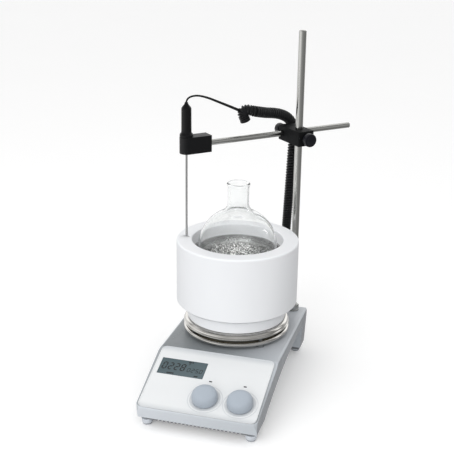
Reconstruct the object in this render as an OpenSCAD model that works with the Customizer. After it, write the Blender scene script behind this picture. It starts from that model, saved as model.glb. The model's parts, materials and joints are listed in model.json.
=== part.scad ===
// Magnetic stirrer with hot plate, flask block, support stand and temperature probe.
// Millimetres, +Z up. Origin: centre of the housing footprint, on the bench surface.
// X runs across the front panel (right is positive), Y runs from front to back.

/* [Housing] */
// Width of the housing at its top edge
body_w = 160; // [152:1:172]
// Depth of the housing, front edge of the panel to the back wall
body_d = 280; // [276:1:290]
// Height of the housing top above the bench
top_z = 65; // [62:1:72]
// Height of the sloped panel's lower edge
panel_low_z = 30; // [28:1:34]
// Underside of the housing walls above the bench
wall_bottom_z = 12; // [11:0.5:13]
// How far the side walls lean inward from top to bottom
side_lean = 3.7; // [0:0.1:6]
// Wall thickness of the housing
wall = 2.5; // [2:0.1:3]
// Height of the arch below each side wall
arch_rise = 36; // [26:0.5:38]
// Width of the tub that carries the base plate between the arches
tub_w = 110; // [106:1:116]

/* [Front panel] */
// Thickness of the white panel cover
panel_t = 1.2; // [1:0.1:1.6]
// Width of the white panel cover
panel_w = 151; // [148:1:152]
// Width of the display glass
lcd_w = 61; // [50:1:66]
// Height of the display glass along the slope
lcd_h = 27.5; // [22:0.5:30]
// Knob diameter
knob_d = 32.4; // [26:0.2:34]
// Knob height
knob_h = 13; // [9:0.5:15]
// Distance between the two knob axes
knob_pitch = 45; // [42:1:50]

/* [Hot plate] */
// Distance of the plate axis behind the housing centre
plate_y = 43; // [40:1:46]
// Diameter of the hot plate
plate_d = 142.8; // [136:0.2:144]
// Top surface of the hot plate above the bench
plate_top = 84.6; // [82:0.2:88]
// Thickness of the hot plate
plate_t = 6.2; // [5:0.1:6.5]

/* [Flask block] */
// Outer diameter of the white insulating sleeve
block_d = 162; // [154:1:166]
// Top rim of the sleeve above the bench
block_top = 195; // [194:0.5:197]
// Lower edge of the sleeve above the bench
block_low = 107; // [104:0.5:110]
// Diameter of the metal block and of the sleeve's hole
core_d = 120; // [118:0.5:124]
// Radius of the hemispherical pocket
pocket_r = 57.5; // [56:0.5:58]

/* [Flask] */
// Outer radius of the flask bulb
bulb_r = 52.5; // [50:0.5:53]
// Rim of the flask neck above the bench
flask_top = 271.6; // [262:0.2:275]
// Inner radius of the neck socket
neck_ir = 12; // [11:0.1:12.2]
// Length of the stirring bar
bar_l = 30; // [20:1:32]

/* [Stand] */
// Rod position across the housing
rod_x = 60; // [58:0.5:64]
// Rod position behind the housing centre
rod_y = 126; // [124:1:127]
// Support rod diameter
rod_d = 10; // [8:0.5:10.5]
// Top of the support rod above the bench
rod_top = 460; // [420:5:500]
// Height of the horizontal rod's axis
arm_z = 319; // [316:1:326]
// Horizontal rod diameter
arm_d = 8; // [7:0.5:8.5]
// Free tail of the horizontal rod beyond the clamp
arm_tail = 98; // [40:1:110]
// Distance between the axes of the two crossed rods
arm_off = 22.5; // [18:0.5:26]

/* [Probe] */
// Probe axis, across
probe_x = -67; // [-68:0.5:-66]
// Probe axis, behind the housing centre
probe_y = 30; // [29:0.5:31]
// Probe stem diameter
stem_d = 3; // [2.4:0.1:3.2]
// Depth of the thermometer well in the sleeve's rim
well_depth = 52; // [50:1:60]

/* [Hidden] */
$fn = 64;

slip = 0.05;                         // radial clearance of a bore around its rod

// Housing
half_w = body_w / 2;
y_front = -body_d / 2;
y_back = body_d / 2 - 0.5;
arch_front_y = -97;                  // the arch leaves the lower edge here
arch_peak_y = 64;                    // and is level from here to the rear legs
leg_y = 112;                         // front face of the rear legs
base_z = wall_bottom_z - 0.1;        // top face of the base plate
base_t = 3.4;
base_low = base_z - base_t;
post_xy = [[-69, -100], [69, -100], [-45, 22], [45, 22], [-29, 132], [26, 120]];
foot_xy = [[-67, -125], [67, -125], [-66, 129], [66, 129]];

// Sloped panel: x across, v down the slope from the break
panel_run = 101;                     // depth of the slope, front to back
panel_rise = top_z - panel_low_z;
break_y = y_front + panel_run;       // where the flat top turns into the panel
slope = atan2(panel_rise, panel_run);
slope_len = norm([panel_run, panel_rise]);
heat_x = 50;
speed_x = heat_x - knob_pitch;
knob_v = 80.5;
board_low = -15.6;                   // underside of the control board, from the surface
board_t = 1.6;                       // thickness of both circuit boards
board_top = board_low + board_t;
board_pts = [[-56, 10], [56, 10], [-58, 93], [58, 93]];   // its screws, [x, v]

// Rear sockets: places as [x, z], body sizes as [width, height]
inlet_at = [-50, 33];
inlet_size = [28, 20];
switch_at = [-14, 33];
switch_size = [13, 19];
port_at = [14, 30];
port_size = [24, 9];
socket_at = [40, 30];
socket_r = 7.5;

// Hot plate and motor
plate_low = plate_top - plate_t;
shield_z = plate_low - 9.6;          // underside of the heat shield
seat_r = 61;                         // foot of the block in the plate's recess
motor_z = base_z + 2.2;              // underside of the motor
bearing_zs = [0.6, 23.4];            // bearing seats above the motor's underside

// Block and flask
core_r = core_d / 2;
sleeve_ir = core_r + 0.15;           // inner radius of all rings around the metal block
pocket_z = 189;
glass_t = 2;
bulb_z = pocket_z - pocket_r + bulb_r + 0.3;

// Stand and probe
rod_low = 40;                        // lower end of the support rod
bush_r = 8;
// the horizontal rod points from the clamp to the probe and passes beside the support rod
probe_vec = [probe_x - rod_x, probe_y - rod_y];
arm_ang = atan2(probe_vec[1], probe_vec[0]) + asin(arm_off / norm(probe_vec));
arm_len = sqrt(pow(norm(probe_vec), 2) - arm_off * arm_off);
arm_gap = 9;                         // probe axis to the end of the horizontal rod
boss_end = -33;                      // clamp end behind the horizontal rod
boss_front = 18;                     // clamp end in front of the support rod
thumb_r = 2.5;                       // shank radius of the thumb screws
holder_r = 9;
holder_back = 33;                    // probe axis to the holder's clamp end
holder_top = arm_z + 11.8;
holder_low = arm_z - 10.4;
holder_screw_x = -17;                // from the probe axis along the horizontal rod
holder_screw_r = 1.5;

// ---------- points ----------

function unit(v) = v / norm(v);

// polygon corners rounded by radii[i], steps segments per arc
function rounded(points, radii, steps = 5) = [for (i = [0:len(points) - 1])
  let (corner = points[i],
       to_prev = unit(points[(i + len(points) - 1) % len(points)] - corner),
       to_next = unit(points[(i + 1) % len(points)] - corner),
       angle = acos(to_prev * to_next),
       centre = corner + unit(to_prev + to_next) * radii[i] / sin(angle / 2),
       start = corner + to_prev * radii[i] / tan(angle / 2) - centre,
       end = corner + to_next * radii[i] / tan(angle / 2) - centre,
       from = atan2(start[1], start[0]),
       diff = atan2(end[1], end[0]) - from,
       turn = diff > 180 ? diff - 360 : diff < -180 ? diff + 360 : diff)
  each (radii[i] < 0.05 ? [corner] : [for (k = [0:steps])
    centre + radii[i] * [cos(from + turn * k / steps), sin(from + turn * k / steps)]])];

// convex polygon moved inward by t
function inset(points, t) = [for (i = [0:len(points) - 1])
  let (corner = points[i],
       to_prev = unit(points[(i + len(points) - 1) % len(points)] - corner),
       to_next = unit(points[(i + 1) % len(points)] - corner))
  corner + unit(to_prev + to_next) * t / sin(acos(to_prev * to_next) / 2)];

// rectangle from -half to half in x and from y0 to y1
function box_pts(half, y0, y1) = [[-half, y0], [half, y0], [half, y1], [-half, y1]];

// evenly spread values, leaving out those before index first
function spread(from, to, steps, first = 0) =
  [for (k = [first:steps]) from + (to - from) * k / steps];

// points at the given angles of an ellipse with the two radii
function arc(centre, radii, angles) =
  [for (a = angles) centre + [radii[0] * cos(a), radii[1] * sin(a)]];

// cubic curve through four control points, at each of the given parameters
function curve(p, params) = [for (t = params)
  pow(1 - t, 3) * p[0] + 3 * t * pow(1 - t, 2) * p[1] + 3 * t * t * (1 - t) * p[2]
  + t * t * t * p[3]];

// ---------- shapes ----------

// upright cylinder starting at height z
module disc(r, h, z = 0) { translate([0, 0, z]) cylinder(r = r, h = h); }

// solid of revolution, profile points are [radius, height]
module turned(profile) { rotate_extrude() polygon(profile); }

// centred plate with rounded corners
module slab(width, height, thick, corner) {
  linear_extrude(thick)
    polygon(rounded(box_pts(width / 2, -height / 2, height / 2),
      [corner, corner, corner, corner]));
}

module tube(outer_r, inner_r, h) {
  difference() {
    cylinder(r = outer_r, h = h);
    disc(inner_r, h + 2, -1);
  }
}

// round cable along the points
module strand(points, r, sides) {
  for (i = [0:len(points) - 2]) hull() {
    translate(points[i]) sphere(r = r, $fn = sides);
    translate(points[i + 1]) sphere(r = r, $fn = sides);
  }
}

// pan-head screw pointing up, head below
module screw_up(r, length, head_r, head_h) {
  disc(head_r, head_h, -head_h);
  disc(r, length, -0.01);
}

// thumb screw along +Z: tip at 0, then shank, collar and disc knob
module thumb_screw(shank, collar, knob_t, knob_r) {
  cylinder(r = thumb_r, h = shank + 1);
  disc(4.6, collar, shank);
  translate([0, 0, shank + collar - 0.2])
    turned([[0, 0], [knob_r - 1, 0], [knob_r, 1], [knob_r, knob_t - 1],
      [knob_r - 1, knob_t], [0, knob_t]]);
}

// ---------- places ----------

// on the sloped panel: x across, v down the slope, h above the surface
module on_slope(x, v, h = 0) {
  translate([0, break_y, top_z]) rotate([slope, 0, 0]) translate([x, -v, h]) children();
}
module at_lcd(h) { on_slope(-38.5, 35.2, h) children(); }
module at_knobs(h) { for (x = [speed_x, heat_x]) on_slope(x, knob_v, h) children(); }
module at_leds(h) { for (x = [speed_x, heat_x]) on_slope(x - 1.5, 50.7, h) children(); }
module at_board_screws(h) { for (p = board_pts) on_slope(p[0], p[1], h) children(); }

module at_each(points, z = 0) { for (p = points) translate([p[0], p[1], z]) children(); }
module around(count, r, start = 0) {
  for (i = [0:count - 1]) rotate(start + i * 360 / count) translate([r, 0, 0]) children();
}

// vertical axis shared by plate, motor, block and flask, and the screw circles on it
module at_plate(z = 0) { translate([0, plate_y, z]) children(); }
module plate_bolts() { around(4, 64.8, 45) children(); }
module bracket_bolts() { around(4, 29, 45) children(); }
module motor_bolts() { around(4, 17) children(); }

// on the back wall at [x, z], moved back by y
module at_rear(place, y = 0) { translate([place[0], y_back + y, place[1]]) children(); }
// turns +Z to the back
module to_back(z = 0) { rotate([-90, 0, 0]) translate([0, 0, z]) children(); }

module at_rod(z) { translate([rod_x, rod_y, z]) children(); }
// origin on the support rod, x along the horizontal rod towards the probe, z up
module clamp_frame() { at_rod(arm_z) rotate(arm_ang) children(); }
// origin on the probe axis, turned like the clamp
module probe_frame() { translate([probe_x, probe_y, 0]) rotate(arm_ang) children(); }

// ---------- housing ----------

// side outline, [y, z], with its lower edge at low_z, pulled in by t
function side_pts(low_z, t) = rounded(inset([
  [y_front + 6 + (wall_bottom_z - low_z) / 3, low_z], [y_front, panel_low_z],
  [break_y, top_z], [y_back, top_z], [y_back, low_z]], t), [0, 2.5, 8, 4, 0]);

// front outline, [x, z], with its lower edge at low_z, pulled in by t
function front_pts(low_z, t) =
  let (low_half = half_w - (top_z - low_z) * side_lean / (top_z - wall_bottom_z))
  rounded(inset([[-low_half, low_z], [-half_w, top_z], [half_w, top_z], [low_half, low_z]], t),
    [0, 3.5, 3.5, 0]);

module housing_solid(low_z, t) {
  intersection() {
    rotate([90, 0, 90]) translate([0, 0, -half_w - 5])
      linear_extrude(body_w + 10) polygon(side_pts(low_z, t));
    rotate([90, 0, 0]) translate([0, 0, -body_w])
      linear_extrude(body_w * 2) polygon(front_pts(low_z, t));
    linear_extrude(top_z + 20)
      polygon(rounded(inset(box_pts(half_w, y_front, y_back), t),
        [12 - t, 12 - t, 8 - t, 8 - t], 7));
  }
}

// the side walls end in a low arch: height of its edge at depth y
function arch_z(y) = wall_bottom_z + arch_rise
  * (1 - pow((arch_peak_y - min(y, arch_peak_y)) / (arch_peak_y - arch_front_y), 2));

// free space below both arches, grown by t
module arch_space(t) {
  ys = spread(arch_front_y - 15, arch_peak_y, 12);
  outline = concat([[ys[0], -10]], [for (y = ys) [y, arch_z(y) + t]],
    [[leg_y + t, arch_z(arch_peak_y) + t], [leg_y + t, -10]]);
  for (s = [0, 1]) mirror([s, 0, 0])
    rotate([90, 0, 90]) translate([0, 0, tub_w / 2 - t]) linear_extrude(60) polygon(outline);
}

// hollow walls with the screw posts and the boss of the support rod, untrimmed
module housing_inside() {
  difference() {
    housing_solid(wall_bottom_z, 0);
    difference() {
      housing_solid(4, wall);
      arch_space(wall);
    }
  }
  at_each(post_xy, wall_bottom_z) cylinder(r = 4.5, h = top_z);
  at_rod(38) cylinder(r = 12, h = top_z - 38);
  at_board_screws(board_top + 0.1) cylinder(r = 3.4, h = 12.5);
}

// opening in the back wall for a socket body of this size
module rear_cut(place, size) {
  at_rear(place, -6) cube([size[0] + 0.4, 20, size[1] + 0.4], center = true);
}

module housing_shell() color([0.72, 0.74, 0.76]) {
  difference() {
    intersection() {
      difference() {
        housing_solid(wall_bottom_z, 0);
        arch_space(0);
      }
      housing_inside();
    }
    at_each(post_xy, wall_bottom_z - 1) cylinder(r = 1.3, h = 13);
    at_board_screws(-15) cylinder(r = 1.1, h = 9);
    at_rod(37) cylinder(r = bush_r + 0.1, h = top_z);
    // display opening, knob holes, light holes
    at_lcd(-6) slab(lcd_w - 4, lcd_h - 4, 10, 1);
    at_knobs(-6) cylinder(r = 4.4, h = 10);
    at_leds(-6) cylinder(r = 1.3, h = 10);
    // plate screws, wire passage
    at_plate(top_z - 10) plate_bolts() cylinder(r = 1.7, h = 20);
    at_plate(top_z - 10) cylinder(r = 9, h = 20);
    rear_cut(inlet_at, inlet_size);
    rear_cut(switch_at, switch_size);
    rear_cut(port_at, port_size);
    at_rear(socket_at, -6) to_back() cylinder(r = socket_r + 0.1, h = 20);
  }
}

module front_panel() color([0.95, 0.955, 0.96]) {
  length = slope_len - 1.4;
  centre_v = slope_len / 2 + 0.4;
  rim_h = panel_t - 0.4;             // foot of the raised edge and knob rings
  difference() {
    union() {
      on_slope(0, centre_v, 0.03) slab(panel_w, length, panel_t - 0.03, 7);
      on_slope(0, centre_v, rim_h) difference() {
        slab(panel_w, length, 0.9, 7);
        translate([0, 0, -1]) slab(panel_w - 2.4, length - 2.4, 4, 5.8);
      }
      at_knobs(rim_h) tube(19.8, 18.8, 0.9);
    }
    at_lcd(-2) slab(lcd_w + 0.2, lcd_h + 0.2, 8, 0.8);
    at_knobs(-2) cylinder(r = 4.4, h = 8);
    at_leds(-2) slab(4, 1.8, 8, 0.6);
  }
}

// row of cuts through the base plate; first corner, pitch and size are [x, y]
module slot_row(count, first, pitch, size) {
  for (i = [0:count - 1])
    translate([first[0] + i * pitch[0], first[1] + i * pitch[1], base_z - 4])
      cube([size[0], size[1], 6]);
}

module base_plate() color([0.35, 0.36, 0.38]) {
  half = half_w - side_lean - 2;
  difference() {
    translate([0, 0, base_low]) linear_extrude(base_t) union() {
      polygon(rounded(box_pts(half, y_front + 9.5, arch_front_y), [10, 10, 3, 3]));
      polygon(rounded(box_pts(half, leg_y + 1, y_back - 2.5), [3, 3, 6, 6]));
      polygon(box_pts(tub_w / 2 - 1, arch_front_y - 10, leg_y + 10));
    }
    at_each(post_xy) cylinder(r = 1.7, h = 20);
    at_each(foot_xy) cylinder(r = 1.65, h = 20);
    // air notches along the front edge, air slots beside the motor
    slot_row(22, [-52, y_front + 8.5], [5, 0], [2.4, 5]);
    for (side = [-1, 1]) slot_row(4, [side * 47 - 1.2, 34], [0, 12.5], [2.4, 8]);
    // air slots under the boards
    slot_row(8, [-42, -100], [11, 0], [5, 34]);
    slot_row(5, [-41, 96], [11, 0], [5, 17]);
    at_plate() bracket_bolts() cylinder(r = 1.65, h = 20);
  }
}

module foot_cups() color([0.82, 0.84, 0.86]) at_each(foot_xy) difference() {
  turned([[0, 2], [6, 2], [6.9, 3], [7.5, 8.4], [0, 8.4]]);
  cylinder(r = 1.65, h = 20);
  disc(4.1, 5.6, -1);
}

module foot_pads() color([0.75, 0.77, 0.8]) at_each(foot_xy)
  turned([[2.6, 0], [5.2, 0], [5.8, 0.6], [5.8, 1.95], [4, 1.95], [4, 4.2], [2.6, 4.2]]);

module foot_screws() color([0.7, 0.7, 0.72]) at_each(foot_xy, 4.62) {
  disc(2.5, 2.15, -2.2);
  disc(1.6, 10, -0.1);
}

module base_screws() color([0.7, 0.7, 0.72])
  at_each(post_xy, base_low - 0.1) screw_up(1.2, 14, 3, 2);

// ---------- display, board and knobs ----------

module lcd_window() color([0.45, 0.52, 0.52]) at_lcd(0.05) slab(lcd_w, lcd_h, panel_t - 0.1, 0.7);

module lcd_module() color([0.3, 0.33, 0.33]) {
  at_lcd(-6.4) slab(lcd_w + 4, lcd_h + 6, 3.8, 0.5);
  at_lcd(-2.7) slab(lcd_w - 5, lcd_h - 5, 2.6, 0.5);
}

module indicator_leds() color([0.12, 0.13, 0.14]) at_leds(0.05) slab(3.8, 1.6, panel_t + 0.1, 0.5);

// parts on the control board: x, v, width, height, thickness
board_parts = [[-30, 66, 12, 12, 1.8], [-50, 72, 9, 15, 2.4], [-5, 56, 8, 5, 2.2]];

module control_board() color([0.1, 0.4, 0.2]) {
  difference() {
    union() {
      on_slope(0, 51.5, board_low) slab(126, 92, board_t, 2);
      for (p = board_parts) on_slope(p[0], p[1], board_top - 0.1) slab(p[2], p[3], p[4], 0.3);
    }
    at_board_screws(-20) cylinder(r = 1.4, h = 12);
  }
}

// rotary encoders with push switch: body, threaded bushing and bore for the shaft
module encoders() color([0.6, 0.6, 0.62]) at_knobs(0) difference() {
  union() {
    translate([0, 0, board_top + 0.1]) slab(13, 13, 7, 0.5);
    disc(3.9, 6, -7);
  }
  disc(3.05, 20, -12.6);
}

module plunger(x) { on_slope(x, knob_v, -11.5) cylinder(r = 3, h = 1.3); }

// shaft with a flat on the right of its upper part
module shaft(x) {
  on_slope(x, knob_v, -10.1) difference() {
    cylinder(r = 3, h = 21);
    translate([1.8, -4, 12]) cube([4, 8, 12]);
  }
}

module knob(x) {
  knob_r = knob_d / 2;
  profile = concat([[0, 0], [5.5, 0], [5.5, 1], [14.6, 1], [14.6, 0], [knob_r, 0]],
    arc([knob_r - 2.6, knob_h - 2.4], [2.4, 2.4], [0:15:90]), [[0, knob_h]]);
  on_slope(x, knob_v, panel_t + 1) difference() {
    turned(profile);
    // hollow around the hub
    difference() {
      disc(14.4, 9, -1);
      disc(5.3, 12, -2);
    }
    // bore with the shaft's flat
    difference() {
      disc(3.02, 10.6, -1);
      translate([1.81, -4, -2]) cube([4, 8, 20]);
    }
  }
}

module heat_plunger() color([0.2, 0.2, 0.2]) plunger(heat_x);
module speed_plunger() color([0.2, 0.2, 0.2]) plunger(speed_x);
module heat_shaft() color([0.75, 0.75, 0.77]) shaft(heat_x);
module speed_shaft() color([0.75, 0.75, 0.77]) shaft(speed_x);
module heat_knob() color([0.7, 0.73, 0.78]) knob(heat_x);
module speed_knob() color([0.7, 0.73, 0.78]) knob(speed_x);

// ---------- hot plate ----------

// flat disc with a rounded rim and a raised shoulder around the seat of the block
module hot_plate() color([0.5, 0.5, 0.5]) at_plate() difference() {
  plate_r = plate_d / 2;
  recess_r = seat_r + 0.2;
  turned(concat([[0, plate_low], [plate_r - 3, plate_low]],
    arc([plate_r - 1.3, plate_low + 1.35], [1.3, 1.3], [-75:15:60]),
    arc([plate_r - 5.6, plate_low + 2.6], [4.6, plate_t - 0.2], [10:10:90]),
    [[recess_r + 0.3, plate_top + 2.4], [recess_r, plate_top + 2], [recess_r, plate_top],
      [0, plate_top]]));
  plate_bolts() disc(1.55, 5, plate_low - 1);
  disc(2.6, 4, plate_low - 1);
}

module heater_element() color([0.75, 0.7, 0.6]) at_plate(plate_low - 2.9) tube(60.5, 24, 2.8);
module insulation_pad() color([0.93, 0.92, 0.86]) at_plate(plate_low - 8.1) tube(61, 16, 5.1);

module heat_shield() color([0.75, 0.75, 0.75]) at_plate(shield_z) difference() {
  shield_r = plate_d / 2;
  turned(concat([[12, 0], [shield_r - 1.5, 0]],
    arc([shield_r - 2.6, 2.9], [2.6, 2.9], [-90:18:90]),
    [[shield_r - 4, 5.8], [shield_r - 4, 1.3], [12, 1.3]]));
  plate_bolts() disc(1.65, 5, -1);
}

module plate_spacers() color([0.9, 0.9, 0.87]) {
  at_plate(shield_z + 1.4) plate_bolts() tube(2.4, 1.6, plate_low - shield_z - 1.5);
  at_plate(top_z + 0.05) plate_bolts() tube(5, 1.6, shield_z - top_z - 0.1);
}

module plate_screws() color([0.7, 0.7, 0.72]) at_plate(top_z - wall - 0.1)
  plate_bolts() screw_up(1.5, plate_low - top_z + wall + 3.6, 2.9, 2);

module plate_sensor() color([0.8, 0.8, 0.8]) at_plate(top_z - 8) {
  cylinder(r = 2.5, h = plate_low - top_z + 10.8);
  cylinder(r = 4, h = 3);
}

// ---------- motor and magnets ----------

module motor_bracket() color([0.6, 0.62, 0.65]) at_plate(base_z + 0.1) difference() {
  slab(66, 66, 2, 6);
  bracket_bolts() disc(1.65, 4, -1);
  motor_bolts() disc(1.65, 4, -1);
  disc(6, 4, -1);
}

module motor_body() color([0.3, 0.3, 0.32]) at_plate(motor_z) difference() {
  cylinder(r = 24, h = 27);
  disc(22, 23, 2);
  disc(5, 30, -1);
  for (z = bearing_zs) disc(8.02, 3, z);
  motor_bolts() disc(1.3, 2.6, -1);
}

module motor_stator() color([0.72, 0.45, 0.2]) at_plate(motor_z + 6) difference() {
  cylinder(r = 21.9, h = 15);
  disc(11, 17, -1);
  around(9, 16.5) disc(2, 17, -1);
}

module motor_bearings() color([0.8, 0.8, 0.82])
  for (z = bearing_zs) at_plate(motor_z + z + 0.05) tube(8, 3, 2.9);

module motor_shaft() color([0.8, 0.8, 0.82]) at_plate(motor_z + 0.2) cylinder(r = 2.95, h = 34.5);
module rotor_core() color([0.25, 0.25, 0.27]) at_plate(motor_z + 6.5) tube(10.4, 2.97, 14);

module magnet_yoke() color([0.65, 0.65, 0.68]) at_plate(motor_z + 29.5) difference() {
  union() {
    cylinder(r = 28, h = 2.5);
    disc(6, 8, -1.5);
  }
  disc(2.97, 20, -5);
}

module drive_magnets() color([0.55, 0.56, 0.6])
  at_plate(motor_z + 32.1) around(2, 17) cylinder(r = 9, h = 9);

// screws of the control board, of the bracket and of the motor
module small_screws() color([0.7, 0.7, 0.72]) {
  at_board_screws(board_low - 0.1) screw_up(1, 7, 2.4, 1.6);
  at_plate(base_low - 0.1) bracket_bolts() screw_up(1.5, 8, 2.8, 1.8);
  at_plate(base_z) motor_bolts() cylinder(r = 1.2, h = 3.4);
}

// ---------- power and sockets ----------

module power_board() color([0.1, 0.35, 0.18]) translate([0, 0, base_z + 5]) {
  part_z = board_t - 0.1;
  union() {
    translate([-17, 104, 0]) slab(66, 30, board_t, 1);
    translate([-38, 104, part_z]) slab(20, 20, 17, 1);
    at_each([[-21, 108], [-9, 108]], part_z) cylinder(r = 5.5, h = 16);
    translate([4, 98, part_z]) slab(12, 6, 14, 0.5);
    // legs down to the base plate
    for (x = [-46, 12], y = [92.5, 115.5]) translate([x, y, -4.9]) cylinder(r = 2.5, h = 5);
  }
}

module power_inlet() color([0.12, 0.12, 0.13]) at_rear(inlet_at) {
  difference() {
    union() {
      to_back(0.05) slab(36, 27, 2.2, 3);
      translate([0, -9.5, 0]) cube([inlet_size[0], 20, inlet_size[1]], center = true);
    }
    translate([0, -4, 0]) cube([24, 20, 16], center = true);
  }
  // contact blades, [x, z]
  for (p = [[-7, -1.5], [0, 2.5], [7, -1.5]])
    translate([p[0], -7, p[1]]) cube([2, 14, 4.5], center = true);
}

module switch_body() color([0.12, 0.12, 0.13]) at_rear(switch_at) difference() {
  union() {
    to_back(0.05) slab(15, 21, 1.8, 1.5);
    translate([0, -7.5, 0]) cube([switch_size[0], 15.4, switch_size[1]], center = true);
  }
  cube([10, 22, 15.4], center = true);
  rotate([0, 90, 0]) translate([0, -1, -6.3]) cylinder(r = 0.95, h = 12.6);
}

// side outline of the rocker around its pivot: towards the back, up
rocker_pts = [[-3, -2.5], [2.2, -6.4], [3.6, -6.4], [2.5, -3], [2.2, 0],
  [2.5, 3], [3.6, 6.4], [2.2, 6.4], [-3, 2.5]];

// rocker tilted to its "on" side
module power_rocker() color([0.15, 0.15, 0.16])
  at_rear(switch_at, -1) rotate([6, 0, 0]) rotate([90, 0, 90]) {
    translate([0, 0, -4.7]) linear_extrude(9.4) polygon(rocker_pts);
    disc(0.9, 12.4, -6.2);
  }

module probe_socket() color([0.55, 0.56, 0.58]) at_rear(socket_at) to_back() difference() {
  union() {
    disc(socket_r, 15, -14);
    disc(9.5, 2, 0.05);
  }
  disc(5.55, 20, -10);
}

// prism with a rounded trapezoid outline; its narrow side ends up below on the back wall
module port_prism(narrow, wide, height, corner) {
  linear_extrude(6) polygon(rounded(
    [[-narrow, height], [narrow, height], [wide, -height], [-wide, -height]],
    [corner, corner, corner, corner]));
}

module data_port() color([0.6, 0.61, 0.63]) at_rear(port_at) to_back() difference() {
  union() {
    translate([0, 0, 0.05]) slab(31, 12.5, 1, 1.5);
    translate([0, 0, -8]) slab(port_size[0], port_size[1], 9, 1);
    translate([0, 0, 0.5]) port_prism(8.4, 9.4, 4.1, 1.5);
  }
  for (x = [-12.4, 12.4]) translate([x, 0, -2]) cylinder(r = 1.3, h = 5);
  translate([0, 0, 2]) port_prism(7.6, 8.5, 3.3, 1);
  // contact holes, five below and four above
  for (i = [0:4]) translate([-5.6 + i * 2.8, 1.5, -1]) cylinder(r = 0.6, h = 6);
  for (i = [0:3]) translate([-4.2 + i * 2.8, -1.5, -1]) cylinder(r = 0.6, h = 6);
}

// ---------- stand ----------

module rod_bush() color([0.78, 0.78, 0.76]) at_rod(rod_low) difference() {
  union() {
    cylinder(r = bush_r, h = top_z - rod_low - 0.1);
    disc(11, 2.1, -4.2);
    disc(bush_r, 6, -4);
  }
  disc(rod_d / 2 + slip, 60, -1);
}

module rod_nut() color([0.6, 0.6, 0.6]) at_rod(top_z + 0.05) difference() {
  union() {
    cylinder(r = 9.5, h = 1.5);
    translate([0, 0, 1.4]) rotate(10) cylinder(r = 9, h = 7, $fn = 6);
    disc(6.6, 1.6, 8.3);
  }
  disc(rod_d / 2 + slip, 30, -1);
}

module support_rod() color([0.78, 0.78, 0.78]) at_rod(0)
  turned([[0, rod_low], [rod_d / 2 - 0.8, rod_low], [rod_d / 2, rod_low + 0.8],
    [rod_d / 2, rod_top - 1], [rod_d / 2 - 1, rod_top], [0, rod_top]]);

module boss_head() color([0.1, 0.1, 0.11]) clamp_frame() difference() {
  screw_bore = thumb_r + slip;
  translate([0, 0, -10]) linear_extrude(20)
    polygon(rounded(box_pts(12, boss_end, boss_front), [2, 2, 1.5, 1.5]));
  disc(rod_d / 2 + slip, 40, -20);
  translate([-30, -arm_off, 0]) rotate([0, 90, 0]) cylinder(r = arm_d / 2 + slip, h = 60);
  to_back() cylinder(r = screw_bore, h = boss_front + 5);
  translate([0, boss_end - 1, 0]) to_back()
    cylinder(r = screw_bore, h = -arm_off - boss_end + 1);
}

module rod_clamp_screw() color([0.12, 0.12, 0.13]) clamp_frame()
  translate([0, rod_d / 2 + 0.15, 0]) rotate([-90, 0, 0])
    thumb_screw(shank = boss_front + 0.1 - rod_d / 2, collar = 4, knob_t = 7.5, knob_r = 9);

module arm_clamp_screw() color([0.12, 0.12, 0.13]) clamp_frame()
  translate([0, -arm_off - arm_d / 2 - 0.15, 0]) rotate([90, 0, 0])
    thumb_screw(shank = -boss_end - arm_off - arm_d / 2 + 0.1, collar = 8.8,
      knob_t = 9, knob_r = 7.6);

module cross_rod() color([0.78, 0.78, 0.78]) clamp_frame() {
  length = arm_tail + arm_len - arm_gap;
  arm_r = arm_d / 2;
  translate([-arm_tail, -arm_off, 0]) rotate([0, 90, 0])
    turned([[0, 0], [arm_r - 0.8, 0], [arm_r, 0.8], [arm_r, length - 0.8],
      [arm_r - 0.8, length], [0, length]]);
}

// ---------- probe ----------

module probe_holder() color([0.1, 0.1, 0.11]) probe_frame() difference() {
  height = holder_top - holder_low;
  union() {
    disc(holder_r, height, holder_low);
    translate([0, 0, holder_low]) linear_extrude(height)
      polygon(rounded([[-holder_back, -holder_r], [-holder_back, holder_r],
        [0, holder_r], [0, -holder_r]], [1.5, 1.5, 0, 0]));
  }
  disc(stem_d / 2 + slip, 60, holder_low - 5);
  // socket for the horizontal rod
  translate([-holder_back - 1, 0, arm_z]) rotate([0, 90, 0])
    cylinder(r = arm_d / 2 + slip, h = holder_back + 1 - (arm_gap - 0.1));
  translate([holder_screw_x, 0, holder_low - 1])
    cylinder(r = holder_screw_r + slip, h = 10);
}

module holder_screw() color([0.5, 0.5, 0.52]) probe_frame()
  translate([holder_screw_x, 0, arm_z - arm_d / 2 - 0.15 - 6])
    cylinder(r = holder_screw_r, h = 6);

module probe_stem() color([0.75, 0.75, 0.75]) translate([probe_x, probe_y, 0])
  turned([[0, block_top + 0.4], [stem_d / 2 - 0.5, block_top + 0.4],
    [stem_d / 2, block_top + 1.2], [stem_d / 2, holder_top + 14], [0, holder_top + 14]]);

module probe_handle() color([0.11, 0.11, 0.12])
  translate([probe_x, probe_y, holder_top + 0.15]) difference() {
    turned([[0, 0], [8.2, 0], [8.8, 0.8], [8.6, 3.4], [6.7, 5.4], [6.5, 36.5],
      [6, 38], [2.6, 42], [2, 44.5], [0, 44.5]]);
    disc(stem_d / 2 + 0.02, 15.1, -1);
    disc(1.7, 5, 41);
  }

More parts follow.
